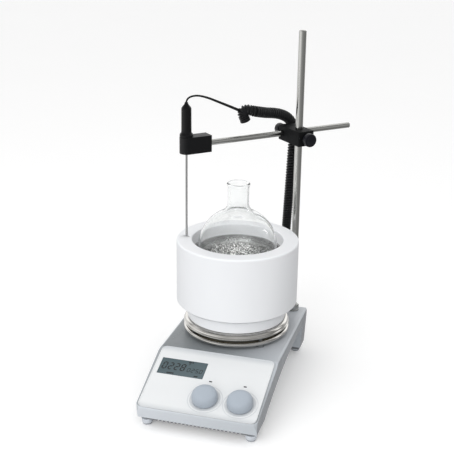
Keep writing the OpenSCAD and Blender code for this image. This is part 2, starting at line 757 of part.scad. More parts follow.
// centre lines of the lead and cord, [x, y, z]
cord_start = [-11.6, 80, 358];
lead_pts = curve([[probe_x, probe_y, holder_top + 43.2], [probe_x + 1, probe_y, holder_top + 68],
  [-45, 46, holder_top + 60], cord_start + [-7, -6, 2]], [0:0.1:1]);
cord_low_start = [36.2, 170, 130];
cord_pts = concat(
  curve([cord_start, [14, 114, 345], [38, 168, 351], [43.5, 170, 314]], [0:0.125:1]),
  [[42.6, 169.2, 290], [38.6, 169.4, 195], cord_low_start],
  curve([cord_low_start, [35, 171, 90], [40, 184, 62], [40, 176, 44]], [0.2:0.2:1]));
cord_tail = [[40, 176, 40], [40, 176, 33.5], [40, 173.5, 30.5], [40, 168.8, 30]];

module probe_lead() color([0.1, 0.1, 0.1]) strand(lead_pts, r = 1.5, sides = 8);

// the coil is one thick strand, with a thin tail to the plug
module coiled_cord() color([0.08, 0.08, 0.09]) {
  strand(cord_pts, r = 7, sides = 12);
  strand(cord_tail, r = 2, sides = 8);
}

module cord_plug() color([0.1, 0.1, 0.11]) at_rear(socket_at, -6) to_back()
  turned([[0, 0], [5.5, 0], [5.5, 8.3], [8, 8.3], [8, 21], [5, 24], [4.4, 33], [0, 33]]);

// ---------- block and flask ----------

module block_core() color([0.6, 0.6, 0.6]) at_plate() difference() {
  low = plate_top + 0.05;
  union() {
    disc(core_r, block_top - 16 - low, low);
    disc(seat_r, 2.4, low);
  }
  translate([0, 0, pocket_z]) sphere(r = pocket_r);
}

module block_ring() color([0.93, 0.93, 0.93])
  at_plate(plate_top + 2.6) tube(66, sleeve_ir, block_low - 1.1 - plate_top - 2.6);

module block_gasket() color([0.6, 0.6, 0.62]) at_plate(block_low - 1.05) tube(66.5, sleeve_ir, 1);

// white sleeve with the thermometer well
module block_shell() color([0.96, 0.96, 0.97]) difference() {
  block_r = block_d / 2;
  at_plate() turned(concat(
    [[sleeve_ir, block_low], [block_r - 3, block_low], [block_r, block_low + 3]],
    arc([block_r - 2.5, block_top - 2.5], [2.5, 2.5], [0:18:90]),
    [[core_r + 1.5, block_top], [sleeve_ir, block_top - 1.5]]));
  translate([probe_x, probe_y, block_top - well_depth])
    cylinder(r = stem_d / 2 + 0.4, h = well_depth + 1);
}

// round-bottom flask: bulb, shoulder, neck socket and rolled rim
module flask() color([0.85, 0.9, 0.92, 0.4]) at_plate() {
  neck_r = neck_ir + glass_t;
  rim_r = 15.3;
  inner_r = bulb_r - glass_t;
  // shoulder fillets: radius, height of the centre above the bulb's, tangent angle
  fillet = 7;
  fillet_z = sqrt(pow(bulb_r + fillet, 2) - pow(neck_r + fillet, 2));
  fillet_ang = atan2(fillet_z, neck_r + fillet);
  in_fillet = fillet + glass_t;
  in_fillet_z = sqrt(pow(inner_r + in_fillet, 2) - pow(neck_ir + in_fillet, 2));
  in_fillet_ang = atan2(in_fillet_z, neck_ir + in_fillet);
  turned(concat(
    arc([0, bulb_z], [bulb_r, bulb_r], spread(-90, fillet_ang, 24)),
    arc([neck_r + fillet, bulb_z + fillet_z], [fillet, fillet],
      spread(fillet_ang + 180, 180, 6, first = 1)),
    [[neck_r, flask_top - 5], [rim_r, flask_top - 3.6], [rim_r, flask_top - 0.8],
      [rim_r - 0.7, flask_top], [neck_ir + 0.6, flask_top], [neck_ir, flask_top - 0.6]],
    arc([neck_ir + in_fillet, bulb_z + in_fillet_z], [in_fillet, in_fillet],
      spread(180, 180 + in_fillet_ang, 6)),
    arc([0, bulb_z], [inner_r, inner_r], spread(in_fillet_ang, -90, 24, first = 1))));
}

// bar along x with a raised ring at its middle
module stir_bar() color([0.97, 0.97, 0.97]) {
  mid = bar_l / 2;
  at_plate(bulb_z - bulb_r + glass_t + 6.2) rotate([0, 90, 0]) translate([0, 0, -mid])
    turned([[0, 0], [2, 0.3], [3.5, 2], [3.5, mid - 1.5], [4.2, mid - 1.2], [4.2, mid + 1.2],
      [3.5, mid + 1.5], [3.5, bar_l - 2], [2, bar_l - 0.3], [0, bar_l]]);
}

housing_shell();
front_panel();
base_plate();
foot_cups();
foot_pads();
foot_screws();
base_screws();
lcd_window();
lcd_module();
indicator_leds();
control_board();
encoders();
heat_plunger();
speed_plunger();
heat_shaft();
speed_shaft();
heat_knob();
speed_knob();
hot_plate();
heater_element();
insulation_pad();
heat_shield();
plate_spacers();
plate_screws();
plate_sensor();
motor_bracket();
motor_body();
motor_stator();
motor_bearings();
motor_shaft();
rotor_core();
magnet_yoke();
drive_magnets();
small_screws();
power_board();
power_inlet();
switch_body();
power_rocker();
probe_socket();
data_port();
rod_bush();
rod_nut();
support_rod();
boss_head();
rod_clamp_screw();
arm_clamp_screw();
cross_rod();
probe_holder();
holder_screw();
probe_handle();
probe_stem();
probe_lead();
coiled_cord();
cord_plug();
block_core();
block_ring();
block_gasket();
block_shell();
flask();
stir_bar();
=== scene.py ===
# Hot-plate stirrer with a round-bottom flask, and a probe hung from an arm on a stand rod.
# +Z is up and the base stands on z = 0. The control panel slopes down towards the front, -Y.
# +X is to the right seen from the front. Lengths are in millimetres unless a comment says
# otherwise, and are turned into metres when handed to Blender.
import bpy, bmesh, json, math
import numpy as np
from mathutils import Vector, Matrix


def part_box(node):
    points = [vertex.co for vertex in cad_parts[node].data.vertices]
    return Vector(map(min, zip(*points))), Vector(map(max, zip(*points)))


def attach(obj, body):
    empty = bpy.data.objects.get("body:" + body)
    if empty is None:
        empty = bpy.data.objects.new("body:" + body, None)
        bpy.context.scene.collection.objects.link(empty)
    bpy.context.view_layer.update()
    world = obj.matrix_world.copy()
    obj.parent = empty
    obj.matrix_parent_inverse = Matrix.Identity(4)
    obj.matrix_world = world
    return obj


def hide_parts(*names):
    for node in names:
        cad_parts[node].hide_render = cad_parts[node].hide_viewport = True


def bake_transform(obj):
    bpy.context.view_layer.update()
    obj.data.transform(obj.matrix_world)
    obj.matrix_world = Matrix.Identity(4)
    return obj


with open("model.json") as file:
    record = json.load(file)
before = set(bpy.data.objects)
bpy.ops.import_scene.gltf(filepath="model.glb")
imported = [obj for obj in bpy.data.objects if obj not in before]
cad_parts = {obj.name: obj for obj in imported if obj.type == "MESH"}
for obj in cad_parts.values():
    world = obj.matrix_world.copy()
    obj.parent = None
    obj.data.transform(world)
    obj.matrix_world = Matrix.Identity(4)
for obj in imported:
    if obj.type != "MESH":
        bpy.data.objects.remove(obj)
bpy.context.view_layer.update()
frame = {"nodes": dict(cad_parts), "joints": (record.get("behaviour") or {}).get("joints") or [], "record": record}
nodes = frame["nodes"]
joints = {joint["name"]: joint for joint in frame["joints"]}
scene = bpy.context.scene
MM = 0.001


# ------------------------------------------------------------------ places in the frame
def centre(node):
    low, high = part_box(node)
    return (low + high) / 2 / MM


def extents(node):
    """Bottom, top and half width in x of a node."""
    low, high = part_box(node)
    return low.z / MM, high.z / MM, (high.x - low.x) / 2 / MM


def in_metres(point):
    return tuple(Vector(point) * MM)


ROD = centre("support_rod")
PROBE = centre("probe_stem")
PLATE = centre("hot_plate")

# the clamp: x along the arm, y across it
ARM_DIRECTION = Vector(joints["arm_slide"]["axis"])
ARM_Z = joints["rod_clamp_turn"]["pos_m"][2] / MM

# the sloping panel: its top edge, and its fall towards the front
PANEL_TILT = math.radians(19.1122)
PANEL_TOP_Y, PANEL_TOP_Z = -39.0, 65.0
KNOB_DOWN = 80.5  # both knobs, from the top edge down the slope


def on_panel(x, down):
    """Frame on the panel face, `down` the slope from its top edge, z out of the face."""
    return (Matrix.Translation(Vector((0, PANEL_TOP_Y, PANEL_TOP_Z)) * MM)
            @ Matrix.Rotation(PANEL_TILT, 4, "X")
            @ Matrix.Translation(Vector((x, -down, 0)) * MM))


def clamp_frame(across):
    """Frame at arm height, `across` the arm from the rod axis."""
    along = ARM_DIRECTION
    axes = Matrix(((along.x, -along.y, 0, 0), (along.y, along.x, 0, 0),
                   (0, 0, 1, 0), (0, 0, 0, 1)))
    return (Matrix.Translation(Vector((ROD.x, ROD.y, ARM_Z)) * MM) @ axes
            @ Matrix.Translation(Vector((0, across, 0)) * MM))


# ------------------------------------------------------------------ shader helpers
MATERIALS = {}


def srgb(*channels):
    """Linear colour from 0-255 display values."""
    def linear(value):
        return value / 12.92 if value <= 0.04045 else ((value + 0.055) / 1.055) ** 2.4
    return tuple(linear(c / 255) for c in channels) + (1.0,)


def grey(level):
    return (level, level, level, 1.0)


def scaled(color, factor):
    return tuple(min(1.0, c * factor) for c in color[:3]) + (1.0,)


class Shader:
    """A node tree under construction; methods add a node and return its output socket."""

    def __init__(self, tree, output="ShaderNodeOutputMaterial", space="Object"):
        self.tree = tree
        tree.nodes.clear()
        self.output = self.node(output)
        self.coords = self.node("ShaderNodeTexCoord").outputs[space]

    def node(self, kind, **props):
        node = self.tree.nodes.new(kind)
        for key, value in props.items():
            setattr(node, key, value)
        return node

    def link(self, source, target):
        self.tree.links.new(source, target)

    def put(self, socket, value):
        """Links a socket, or stores a plain value."""
        if hasattr(value, "is_linked"):
            self.link(value, socket)
        else:
            socket.default_value = value

    def math(self, operation, a, b=0.0, clamp=False):
        node = self.node("ShaderNodeMath", operation=operation, use_clamp=clamp)
        for socket, value in zip(node.inputs, (a, b, 0.0)):
            self.put(socket, value)
        return node.outputs[0]

    def add(self, a, b):
        return self.math("ADD", a, b)

    def sub(self, a, b):
        return self.math("SUBTRACT", a, b)

    def mul(self, a, b, clamp=False):
        return self.math("MULTIPLY", a, b, clamp)

    def vector_math(self, operation, a, b=(0, 0, 0)):
        """Returns the node itself."""
        node = self.node("ShaderNodeVectorMath", operation=operation)
        self.put(node.inputs[0], a)
        self.put(node.inputs[1], b)
        return node

    def split(self, vector):
        node = self.node("ShaderNodeSeparateXYZ")
        self.link(vector, node.inputs[0])
        return node.outputs[0], node.outputs[1], node.outputs[2]

    def combine(self, x, y, z):
        node = self.node("ShaderNodeCombineXYZ")
        for socket, value in zip(node.inputs, (x, y, z)):
            self.put(socket, value)
        return node.outputs[0]

    def remap(self, value, span, to=(0.0, 1.0), smooth=False):
        """Carries the range `span` to the range `to`."""
        kind = "SMOOTHSTEP" if smooth else "LINEAR"
        node = self.node("ShaderNodeMapRange", interpolation_type=kind)
        for index, item in enumerate((value, *span, *to)):
            self.put(node.inputs[index], item)
        return node.outputs[0]

    def patchy(self, pattern, low, high):
        """Spreads the middle of a noise pattern from low to high."""
        return self.remap(pattern, span=(0.3, 0.7), to=(low, high))

    def noise(self, scale, detail=4.0, rough=0.55, vector=None, stretch=None, distortion=0.0):
        vector = self.coords if vector is None else vector
        if stretch is not None:
            mapping = self.node("ShaderNodeMapping")
            self.link(vector, mapping.inputs["Vector"])
            mapping.inputs["Scale"].default_value = stretch
            vector = mapping.outputs[0]
        node = self.node("ShaderNodeTexNoise")
        self.link(vector, node.inputs["Vector"])
        node.inputs["Scale"].default_value = scale
        node.inputs["Detail"].default_value = detail
        node.inputs["Roughness"].default_value = rough
        node.inputs["Distortion"].default_value = distortion
        return node.outputs["Fac"]

    def voronoi(self, scale, output="Distance"):
        node = self.node("ShaderNodeTexVoronoi")
        self.link(self.coords, node.inputs["Vector"])
        node.inputs["Scale"].default_value = scale
        return node.outputs[output]

    def mix(self, factor, first, second):
        node = self.node("ShaderNodeMix", data_type="RGBA")
        for index, value in ((0, factor), (6, first), (7, second)):
            self.put(node.inputs[index], value)
        return node.outputs[2]

    def ramp(self, factor, stops):
        """Colour ramp from (position, colour) stops."""
        node = self.node("ShaderNodeValToRGB")
        self.link(factor, node.inputs[0])
        elements = node.color_ramp.elements
        while len(elements) < len(stops):
            elements.new(0.5)
        for index, (position, color) in enumerate(stops):
            elements[index].position = position
            elements[index].color = color
        return node.outputs[0]

    def bump(self, height, strength, depth):
        node = self.node("ShaderNodeBump")
        node.inputs["Strength"].default_value = strength
        node.inputs["Distance"].default_value = depth * MM
        self.link(height, node.inputs["Height"])
        return node.outputs[0]

    def edge(self, radius=0.6):
        """0 on flats, up to 1 along edges."""
        bevel = self.node("ShaderNodeBevel", samples=4)
        bevel.inputs["Radius"].default_value = radius * MM
        normal = self.node("ShaderNodeNewGeometry").outputs["Normal"]
        dot = self.vector_math("DOT_PRODUCT", bevel.outputs[0], normal).outputs["Value"]
        gain = 4.8
        return self.mul(self.sub(1.0, dot), gain, clamp=True)

    def radial(self, axis):
        """Distance from the vertical axis through a point, and height, in metres."""
        x, y, z = self.split(self.coords)
        squares = [self.math("POWER", self.math("ABSOLUTE", self.sub(value, place * MM)), 2.0)
                   for value, place in ((x, axis.x), (y, axis.y))]
        return self.math("SQRT", self.add(*squares)), z

    def principled(self, color, rough, metal=0.0, normal=None, **others):
        """Surface shader wired to the output; underscores in names stand for spaces."""
        node = self.node("ShaderNodeBsdfPrincipled")
        self.put(node.inputs["Base Color"], color)
        self.put(node.inputs["Roughness"], rough)
        self.put(node.inputs["Metallic"], metal)
        if normal is not None:
            self.link(normal, node.inputs["Normal"])
        for key, value in others.items():
            self.put(node.inputs[key.replace("_", " ")], value)
        self.link(node.outputs[0], self.output.inputs[0])
        return node


def new_material(name):
    """Shader of a new material, which is also entered in MATERIALS."""
    material = bpy.data.materials.new(name)
    material.use_nodes = True
    MATERIALS[name] = material
    return Shader(material.node_tree)


# ------------------------------------------------------------------ plastics
def plastic(name, rgb, rough, spread, grain_scale, grain_bump, rubbed, others):
    """Moulded plastic: faint cloudy tone, fine texture, lighter rubbed edges."""
    mat = new_material(name)
    base = srgb(*rgb)
    cloud = mat.noise(scale=35.0, detail=3.0)
    color = mat.mix(cloud, scaled(base, 1 - spread), scaled(base, 1 + spread))
    grain = mat.noise(scale=grain_scale, detail=2.0, rough=0.6)
    roughness = mat.patchy(mat.noise(scale=120.0), rough - 0.05, rough + 0.05)
    if rubbed:
        amount, rubbed_rgb = rubbed
        breaks = mat.noise(scale=260.0, detail=3.0)
        wear_and_edge_highlight = mat.mul(mat.edge(), mat.remap(breaks, span=(0.35, 0.65), to=(0.35, 1.0)))
        color = mat.mix(mat.mul(wear_and_edge_highlight, amount, clamp=True), color, srgb(*rubbed_rgb))
    mat.principled(color, roughness, normal=mat.bump(grain, grain_bump, depth=0.02), **others)


# name, colour, roughness, tone spread, grain scale, grain bump,
# (rubbed edge amount, its colour), other shader inputs
PLASTICS = (
    ("cup_grey", (214, 219, 226), 0.42, 0.03, 2200.0, 0.08, None, {}),
    ("base_dark", (120, 122, 126), 0.5, 0.08, 1500.0, 0.15, (0.4, (165, 167, 170)), {}),
    ("rubber_grey", (178, 182, 188), 0.75, 0.08, 2500.0, 0.3, None, {}),
    ("led_dark", (56, 58, 60), 0.18, 0.05, 1500.0, 0.02, None, dict(Coat_Weight=0.5)),
    ("socket_black", (34, 34, 36), 0.5, 0.12, 1900.0, 0.2, (0.4, (80, 80, 82)), {}),
    ("rocker_black", (28, 28, 30), 0.22, 0.08, 1900.0, 0.04, (0.3, (80, 80, 82)), {}),
    ("knob_grey", (168, 177, 187), 0.5, 0.02, 2400.0, 0.10, None, dict(Sheen_Weight=0.05)),
    ("clamp_black", (24, 25, 26), 0.5, 0.10, 2000.0, 0.2, (0.25, (58, 59, 60)),
     dict(Specular_IOR_Level=0.05)),
    ("knob_black", (14, 15, 23), 0.33, 0.08, 1800.0, 0.08, (0.25, (55, 56, 64)),
     dict(Specular_IOR_Level=0.3)),
    ("holder_black", (13, 14, 16), 0.42, 0.10, 2000.0, 0.2, (0.3, (48, 49, 51)),
     dict(Specular_IOR_Level=0.28)),
    ("handle_black", (11, 11, 14), 0.38, 0.08, 2200.0, 0.15, (0.2, (40, 40, 46)),
     dict(Specular_IOR_Level=0.26)),
    ("lead_black", (18, 19, 19), 0.5, 0.1, 2200.0, 0.2, None, dict(Specular_IOR_Level=0.3)),
    ("gasket_grey", (120, 122, 126), 0.7, 0.08, 2200.0, 0.3, None, {}),
    ("ceramic_white", (98, 101, 103), 0.4, 0.12, 900.0, 0.15, None, {}),
    ("bar_white", (240, 240, 238), 0.3, 0.02, 900.0, 0.05, None, {}),
    ("lcd_back", (60, 62, 62), 0.6, 0.1, 900.0, 0.1, None, {}),
    ("motor_black", (40, 40, 43), 0.4, 0.1, 900.0, 0.15, (0.4, (110, 110, 112)), {}),
)
for row in PLASTICS:
    plastic(*row)
MATERIALS["rubber_dark"] = MATERIALS["rubber_grey"]


# ------------------------------------------------------------------ metals
def metal(name, rgb, rough, spread, turned=None, stretch=(1, 1, 1), bump=0.15, scale=900.0,
          edge=0.0, rough_spread=0.05):
    """Machined metal: turned rings about an axis, or lines along a direction."""
    mat = new_material(name)
    base = srgb(*rgb)
    if turned is not None:
        radius, z = mat.radial(turned)
        rings = mat.combine(mat.mul(radius, 6.0), mat.mul(z, 6.0), 0.0)
        lines = mat.noise(scale=scale, detail=3.0, rough=0.7, vector=rings)
    else:
        lines = mat.noise(scale=scale, detail=3.0, rough=0.7, stretch=stretch)
    cloud = mat.noise(scale=60.0, detail=3.0)
    tone = mat.add(mat.mul(lines, 0.5), mat.mul(cloud, 0.5))
    color = mat.mix(tone, scaled(base, 1 - spread), scaled(base, 1 + spread))
    if edge:
        color = mat.mix(mat.mul(mat.edge(), edge, clamp=True), color, scaled(base, 1.5))
    roughness = mat.patchy(lines, max(0.02, rough - rough_spread), rough + rough_spread)
    mat.principled(color, roughness, metal=1.0, normal=mat.bump(lines, bump, depth=0.01))


# name, colour, roughness, tone spread, other settings of metal()
METALS = (
    ("rotor_dark", (70, 70, 74), 0.5, 0.15, dict(stretch=(1, 1, 12), bump=0.4)),
    ("screw_steel", (190, 190, 190), 0.28, 0.1, dict(scale=700.0)),
    ("encoder_metal", (190, 190, 192), 0.3, 0.08, {}),
    ("magnet_nickel", (200, 200, 204), 0.15, 0.05, dict(scale=500.0, bump=0.05)),
    ("connector_metal", (195, 196, 200), 0.22, 0.06, dict(scale=700.0, bump=0.08, edge=0.3)),
    ("nut_steel", (176, 177, 176), 0.16, 0.08,
     dict(turned=ROD, scale=500.0, bump=0.1, edge=0.3)),
    ("plate_steel", (208, 206, 202), 0.09, 0.05,
     dict(turned=PLATE, scale=420.0, bump=0.06, rough_spread=0.03)),
    ("shield_steel", (212, 210, 206), 0.09, 0.05,
     dict(turned=PLATE, scale=420.0, bump=0.05, rough_spread=0.03)),
    ("rod_steel", (190, 190, 187), 0.17, 0.05,
     dict(stretch=(1, 1, 30), scale=220.0, bump=0.05, rough_spread=0.04)),
    ("stem_steel", (186, 186, 186), 0.2, 0.06, dict(stretch=(1, 1, 20), scale=300.0, bump=0.05)),
)
for *row, settings in METALS:
    metal(*row, **settings)


# ------------------------------------------------------------------ other materials
def housing_paint():
    """Grey paint with painted light and shade: each way a face looks gets its own painted lighting, with painted
    shade near other parts and a painted highlight on the edges.
    """
    mat = new_material("housing_grey")
    cloud = mat.noise(scale=35.0, detail=3.0)
    color = mat.mix(cloud, srgb(186, 191, 196), srgb(194, 199, 204))
    # painted highlight: the bevelled edges are lightened, broken up by noise
    breaks = mat.remap(mat.noise(scale=260.0, detail=3.0), span=(0.35, 0.65), to=(0.5, 1.0))
    wear_and_edge_highlight = mat.mul(mat.edge(radius=0.8), breaks, clamp=True)
    color = mat.mix(mat.mul(wear_and_edge_highlight, 0.18), color, srgb(214, 218, 222))
    occlusion = mat.node("ShaderNodeAmbientOcclusion", samples=6)
    occlusion.inputs["Distance"].default_value = 0.05
    normal = mat.node("ShaderNodeNewGeometry").outputs["Normal"]
    normal_x, normal_y, normal_z = mat.split(normal)
    x, y, _ = mat.split(mat.coords)

    # painted light: front faces lighter, darker towards the right
    front = mat.remap(normal_y, span=(-0.75, -0.95))
    tone = mat.mix(mat.remap(x, span=(-0.08, 0.08)), srgb(226, 231, 237), srgb(204, 210, 216))
    color = mat.mix(mat.mul(front, 0.85), color, tone)

    # painted shade: right side faces darker, more so towards the back
    sweep = mat.remap(mat.add(mat.mul(x, 0.6), mat.mul(y, 0.8)), span=(-0.075, 0.065))
    top = mat.remap(normal_z, span=(0.9, 0.98))
    side = mat.remap(normal_x, span=(0.7, 0.95))
    side_shade = mat.mix(mat.remap(y, span=(0.05, 0.13), smooth=True),
                        srgb(130, 135, 142), srgb(102, 107, 116))
    color = mat.mix(mat.mul(side, 0.9), color, side_shade)

    # painted light and shade: top faces dark near the plate at the front left, lighter towards the back right
    deck = mat.ramp(sweep, [
        (0.0, srgb(112, 117, 119)), (0.28, srgb(134, 139, 142)), (0.55, srgb(180, 185, 190)),
        (0.8, srgb(202, 206, 211)), (1.0, srgb(208, 212, 217))])
    color = mat.mix(mat.mul(top, 0.9), color, deck)

    # painted shade: upward faces darken close to other parts
    contact_shade = mat.mul(mat.remap(occlusion.outputs["AO"], span=(0.25, 1.0), to=(0.22, 0.0)),
                      mat.remap(normal_z, span=(0.5, 0.9)))
    color = mat.mix(contact_shade, color, srgb(84, 89, 91))
    grain = mat.noise(scale=2600.0, detail=2.0, rough=0.6)
    roughness = mat.patchy(mat.noise(scale=120.0), 0.33, 0.43)
    mat.principled(color, roughness, normal=mat.bump(grain, strength=0.10, depth=0.02),
                   Coat_Weight=0.1, Coat_Roughness=0.25)


def panel_face():
    """White panel: painted shade at the top and foot, with a soft disc and a ring at each knob."""
    mat = new_material("panel_white")
    x, y, _ = mat.split(mat.coords)
    # millimetres down the slope from the panel's top edge
    down = mat.mul(mat.sub(PANEL_TOP_Y * MM, y), 1.0 / math.cos(PANEL_TILT) / MM)
    cloud = mat.noise(scale=18.0, detail=3.0)
    base = mat.mix(cloud, srgb(223, 225, 226), srgb(229, 231, 232))
    # painted shade where the face rolls over at the top edge
    top = mat.remap(down, span=(1.0, 13.0), to=(1.0, 0.0), smooth=True)
    color = mat.mix(mat.mul(top, 0.7), base, srgb(186, 191, 196))
    for knob in ("heat_knob", "speed_knob"):
        low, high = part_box(knob)
        from_x = mat.sub(x, (low.x + high.x) / 2)
        from_down = mat.mul(mat.sub(down, KNOB_DOWN), MM)
        squares = mat.add(mat.mul(from_x, from_x), mat.mul(from_down, from_down))
        distance = mat.mul(mat.math("SQRT", squares), 1.0 / MM)
        disc = mat.remap(distance, span=(17.0, 20.4), to=(1.0, 0.0), smooth=True)
        ring = mat.mul(mat.remap(distance, span=(21.0, 21.5)),
                       mat.remap(distance, span=(22.0, 22.7), to=(1.0, 0.0)), clamp=True)
        color = mat.mix(mat.mul(disc, 0.45), color, srgb(176, 182, 188))
        color = mat.mix(mat.mul(ring, 0.5), color, srgb(188, 192, 196))
    # painted shade along the foot of the panel
    foot_shade = mat.remap(down, span=(98.0, 106.0), to=(0.0, 0.6), smooth=True)
    color = mat.mix(foot_shade, color, srgb(196, 200, 203))
    grain = mat.noise(scale=2600.0, detail=2.0, rough=0.6)
    roughness = mat.patchy(mat.noise(scale=90.0), 0.30, 0.40)
    mat.principled(color, roughness, normal=mat.bump(grain, strength=0.06, depth=0.015),
                   Coat_Weight=0.1, Coat_Roughness=0.25, Specular_IOR_Level=0.35)


def sleeve_plastic():
    """White plastic with upright moulding streaks."""
    mat = new_material("sleeve_white")
    cloud = mat.noise(scale=9.0, stretch=(1, 1, 0.35))
    color = mat.mix(cloud, srgb(236, 238, 241), srgb(246, 247, 249))
    grain = mat.noise(scale=1500.0, detail=3.0, rough=0.6)
    streaks = mat.noise(scale=300.0, detail=2.0, rough=0.5, stretch=(1, 1, 0.05))
    height = mat.add(grain, mat.mul(streaks, 0.6))
    roughness = mat.patchy(mat.noise(scale=60.0), 0.42, 0.55)
    mat.principled(color, roughness, normal=mat.bump(height, strength=0.10, depth=0.02),
                   Subsurface_Weight=0.05, Subsurface_Radius=(0.004, 0.004, 0.004))


def cast_aluminium():
    """Flask block: smooth turned band at the top of the pocket, coarse speckle below."""
    mat = new_material("block_alu")
    z = mat.split(mat.coords)[2]
    cast = mat.remap(z, span=(0.173, 0.165), smooth=True)
    blotches = mat.noise(scale=420.0, detail=5.0, rough=0.75, distortion=0.6)
    cells = mat.voronoi(scale=520.0)
    # threshold and contrast of the speckle
    speckle = mat.mul(mat.sub(blotches, 0.46), 11.0, clamp=True)
    speckle = mat.mul(speckle, mat.remap(cells, span=(0.1, 0.6), to=(0.4, 1.0)), clamp=True)
    cast_color = mat.ramp(speckle, [
        (0.0, srgb(52, 51, 49)), (0.4, srgb(120, 119, 116)),
        (0.8, srgb(205, 204, 202)), (1.0, srgb(250, 250, 248))])
    turned_color = mat.mix(mat.noise(scale=40.0, detail=3.0),
                           srgb(158, 158, 157), srgb(176, 176, 175))
    color = mat.mix(cast, turned_color, cast_color)
    roughness = mat.remap(cast, span=(0.0, 1.0), to=(0.24, 0.5))
    relief = mat.bump(mat.mul(speckle, cast), strength=0.55, depth=0.25)
    mat.principled(color, roughness, metal=0.85, normal=relief)


def display_glass():
    mat = new_material("lcd_glass")
    x, y, _ = mat.split(mat.coords)
    diagonal = mat.add(mat.mul(y, -1.0), mat.mul(x, 0.6))
    color = mat.mix(mat.remap(diagonal, span=(0.035, 0.085)),
                    srgb(78, 92, 97), srgb(94, 107, 112))
    cloud = mat.noise(scale=30.0, detail=2.0)
    color = mat.mix(mat.mul(cloud, 0.3), color, srgb(88, 104, 107))
    specks = mat.noise(scale=900.0, detail=1.0, stretch=(1, 1, 1))
    color = mat.mix(mat.mul(specks, 0.06), color, srgb(90, 105, 106))
    waves = mat.noise(scale=60.0, detail=2.0)
    mat.principled(color, rough=0.3, normal=mat.bump(waves, strength=0.02, depth=0.02),
                   Specular_IOR_Level=0.22)


def display_ink(name, dark, light):
    mat = new_material(name)
    color = mat.mix(mat.noise(scale=500.0, detail=2.0), srgb(*dark), srgb(*light))
    mat.principled(color, rough=0.3)


def cord_jacket():
    mat = new_material("cord_black")
    color = mat.mix(mat.noise(scale=70.0, detail=3.0), srgb(17, 17, 19), srgb(25, 26, 28))
    grain = mat.noise(scale=2600.0, detail=2.0)
    roughness = mat.patchy(mat.noise(scale=300.0, detail=3.0), 0.34, 0.48)
    mat.principled(color, roughness, normal=mat.bump(grain, strength=0.15, depth=0.02),
                   Specular_IOR_Level=0.35)


def flask_glass():
    """Real refraction for the eye, clear to light passing on to other things."""
    mat = new_material("flask_glass")
    relief = mat.bump(mat.noise(scale=22.0, detail=2.0), strength=0.05, depth=0.3)
    glass = mat.node("ShaderNodeBsdfGlass")
    glass.inputs["IOR"].default_value = 1.46
    glass.inputs["Roughness"].default_value = 0.0
    tint = mat.mix(mat.noise(scale=8.0, detail=1.0),
                   (0.985, 0.99, 0.99, 1.0), (0.995, 0.998, 0.997, 1.0))
    # painted shade: the outline darkens where the wall turns away
    facing = mat.node("ShaderNodeLayerWeight").outputs["Facing"]
    outline = mat.mul(mat.remap(facing, span=(0.78, 0.99), smooth=True), 0.6)
    mat.link(mat.mix(outline, tint, (0.45, 0.46, 0.47, 1.0)), glass.inputs["Color"])
    mat.link(relief, glass.inputs["Normal"])
    clear = mat.node("ShaderNodeBsdfTransparent")
    clear.inputs[0].default_value = (0.99, 0.99, 0.99, 1.0)
    rays = mat.node("ShaderNodeLightPath").outputs
    passing = mat.math("MAXIMUM", rays["Is Shadow Ray"], rays["Is Diffuse Ray"])
    both = mat.node("ShaderNodeMixShader")
    for index, source in enumerate((passing, glass.outputs[0], clear.outputs[0])):
        mat.link(source, both.inputs[index])
    mat.link(both.outputs[0], mat.output.inputs[0])


def circuit_board():
    mat = new_material("board_green")
    green = srgb(28, 104, 58)
    x = mat.split(mat.coords)[0]
    stripes = mat.math("FRACT", mat.mul(mat.add(x, 1.0), 400.0))
    tracks = mat.math("GREATER_THAN", stripes, 0.78)
    patch = mat.split(mat.voronoi(scale=160.0, output="Color"))[0]
    tracks = mat.mul(tracks, mat.math("GREATER_THAN", patch, 0.45))
    color = mat.mix(tracks, green, scaled(green, 1.9))
    pads = mat.math("LESS_THAN", mat.voronoi(scale=300.0), 0.16)
    color = mat.mix(pads, color, srgb(196, 190, 170))
    mat.principled(color, rough=0.32, normal=mat.bump(tracks, strength=0.2, depth=0.03),
                   Coat_Weight=0.4)


def copper_winding():
    mat = new_material("stator_copper")
    z = mat.radial(PLATE)[1]
    wires = mat.math("SINE", mat.mul(z, 9000.0))
    color = mat.mix(mat.remap(wires, span=(-1.0, 1.0)), srgb(120, 62, 30), srgb(205, 128, 78))
    mat.principled(color, rough=0.32, metal=0.8,
                   normal=mat.bump(wires, strength=0.5, depth=0.15))


def fibre_insulation():
    """Pale fibres, with painted shade darkening them towards the outer rim."""
    mat = new_material("fibre_white")
    fibres = mat.noise(scale=900.0, detail=6.0, rough=0.8, stretch=(1, 1, 5), distortion=1.5)
    color = mat.mix(fibres, srgb(214, 208, 186), srgb(240, 238, 226))
    radius = mat.radial(PLATE)[0]
    # painted shade in the gap under the plate's rim
    rim = mat.remap(radius, span=(0.054, 0.062), to=(0.0, 0.9), smooth=True)
    color = mat.mix(rim, color, srgb(58, 55, 50))
    mat.principled(color, rough=0.95, normal=mat.bump(fibres, strength=0.7, depth=0.3))


def heater_mica():
    """Mica with rings of heating wire."""
    mat = new_material("heater_mica")
    radius = mat.radial(PLATE)[0]
    coil = mat.math("SINE", mat.mul(radius, 1250.0))
    wire = mat.math("GREATER_THAN", coil, 0.72)
    color = mat.mix(mat.noise(scale=140.0), srgb(176, 158, 120), srgb(206, 190, 152))
    color = mat.mix(wire, color, srgb(150, 146, 138))
    mat.principled(color, rough=0.55, normal=mat.bump(coil, strength=0.3, depth=0.15))


housing_paint()
panel_face()
sleeve_plastic()
cast_aluminium()
display_glass()
display_ink("lcd_ink", dark=(8, 12, 15), light=(14, 19, 22))
display_ink("lcd_ink_faint", dark=(16, 22, 25), light=(24, 31, 35))
cord_jacket()
flask_glass()
circuit_board()
copper_winding()
fibre_insulation()
heater_mica()


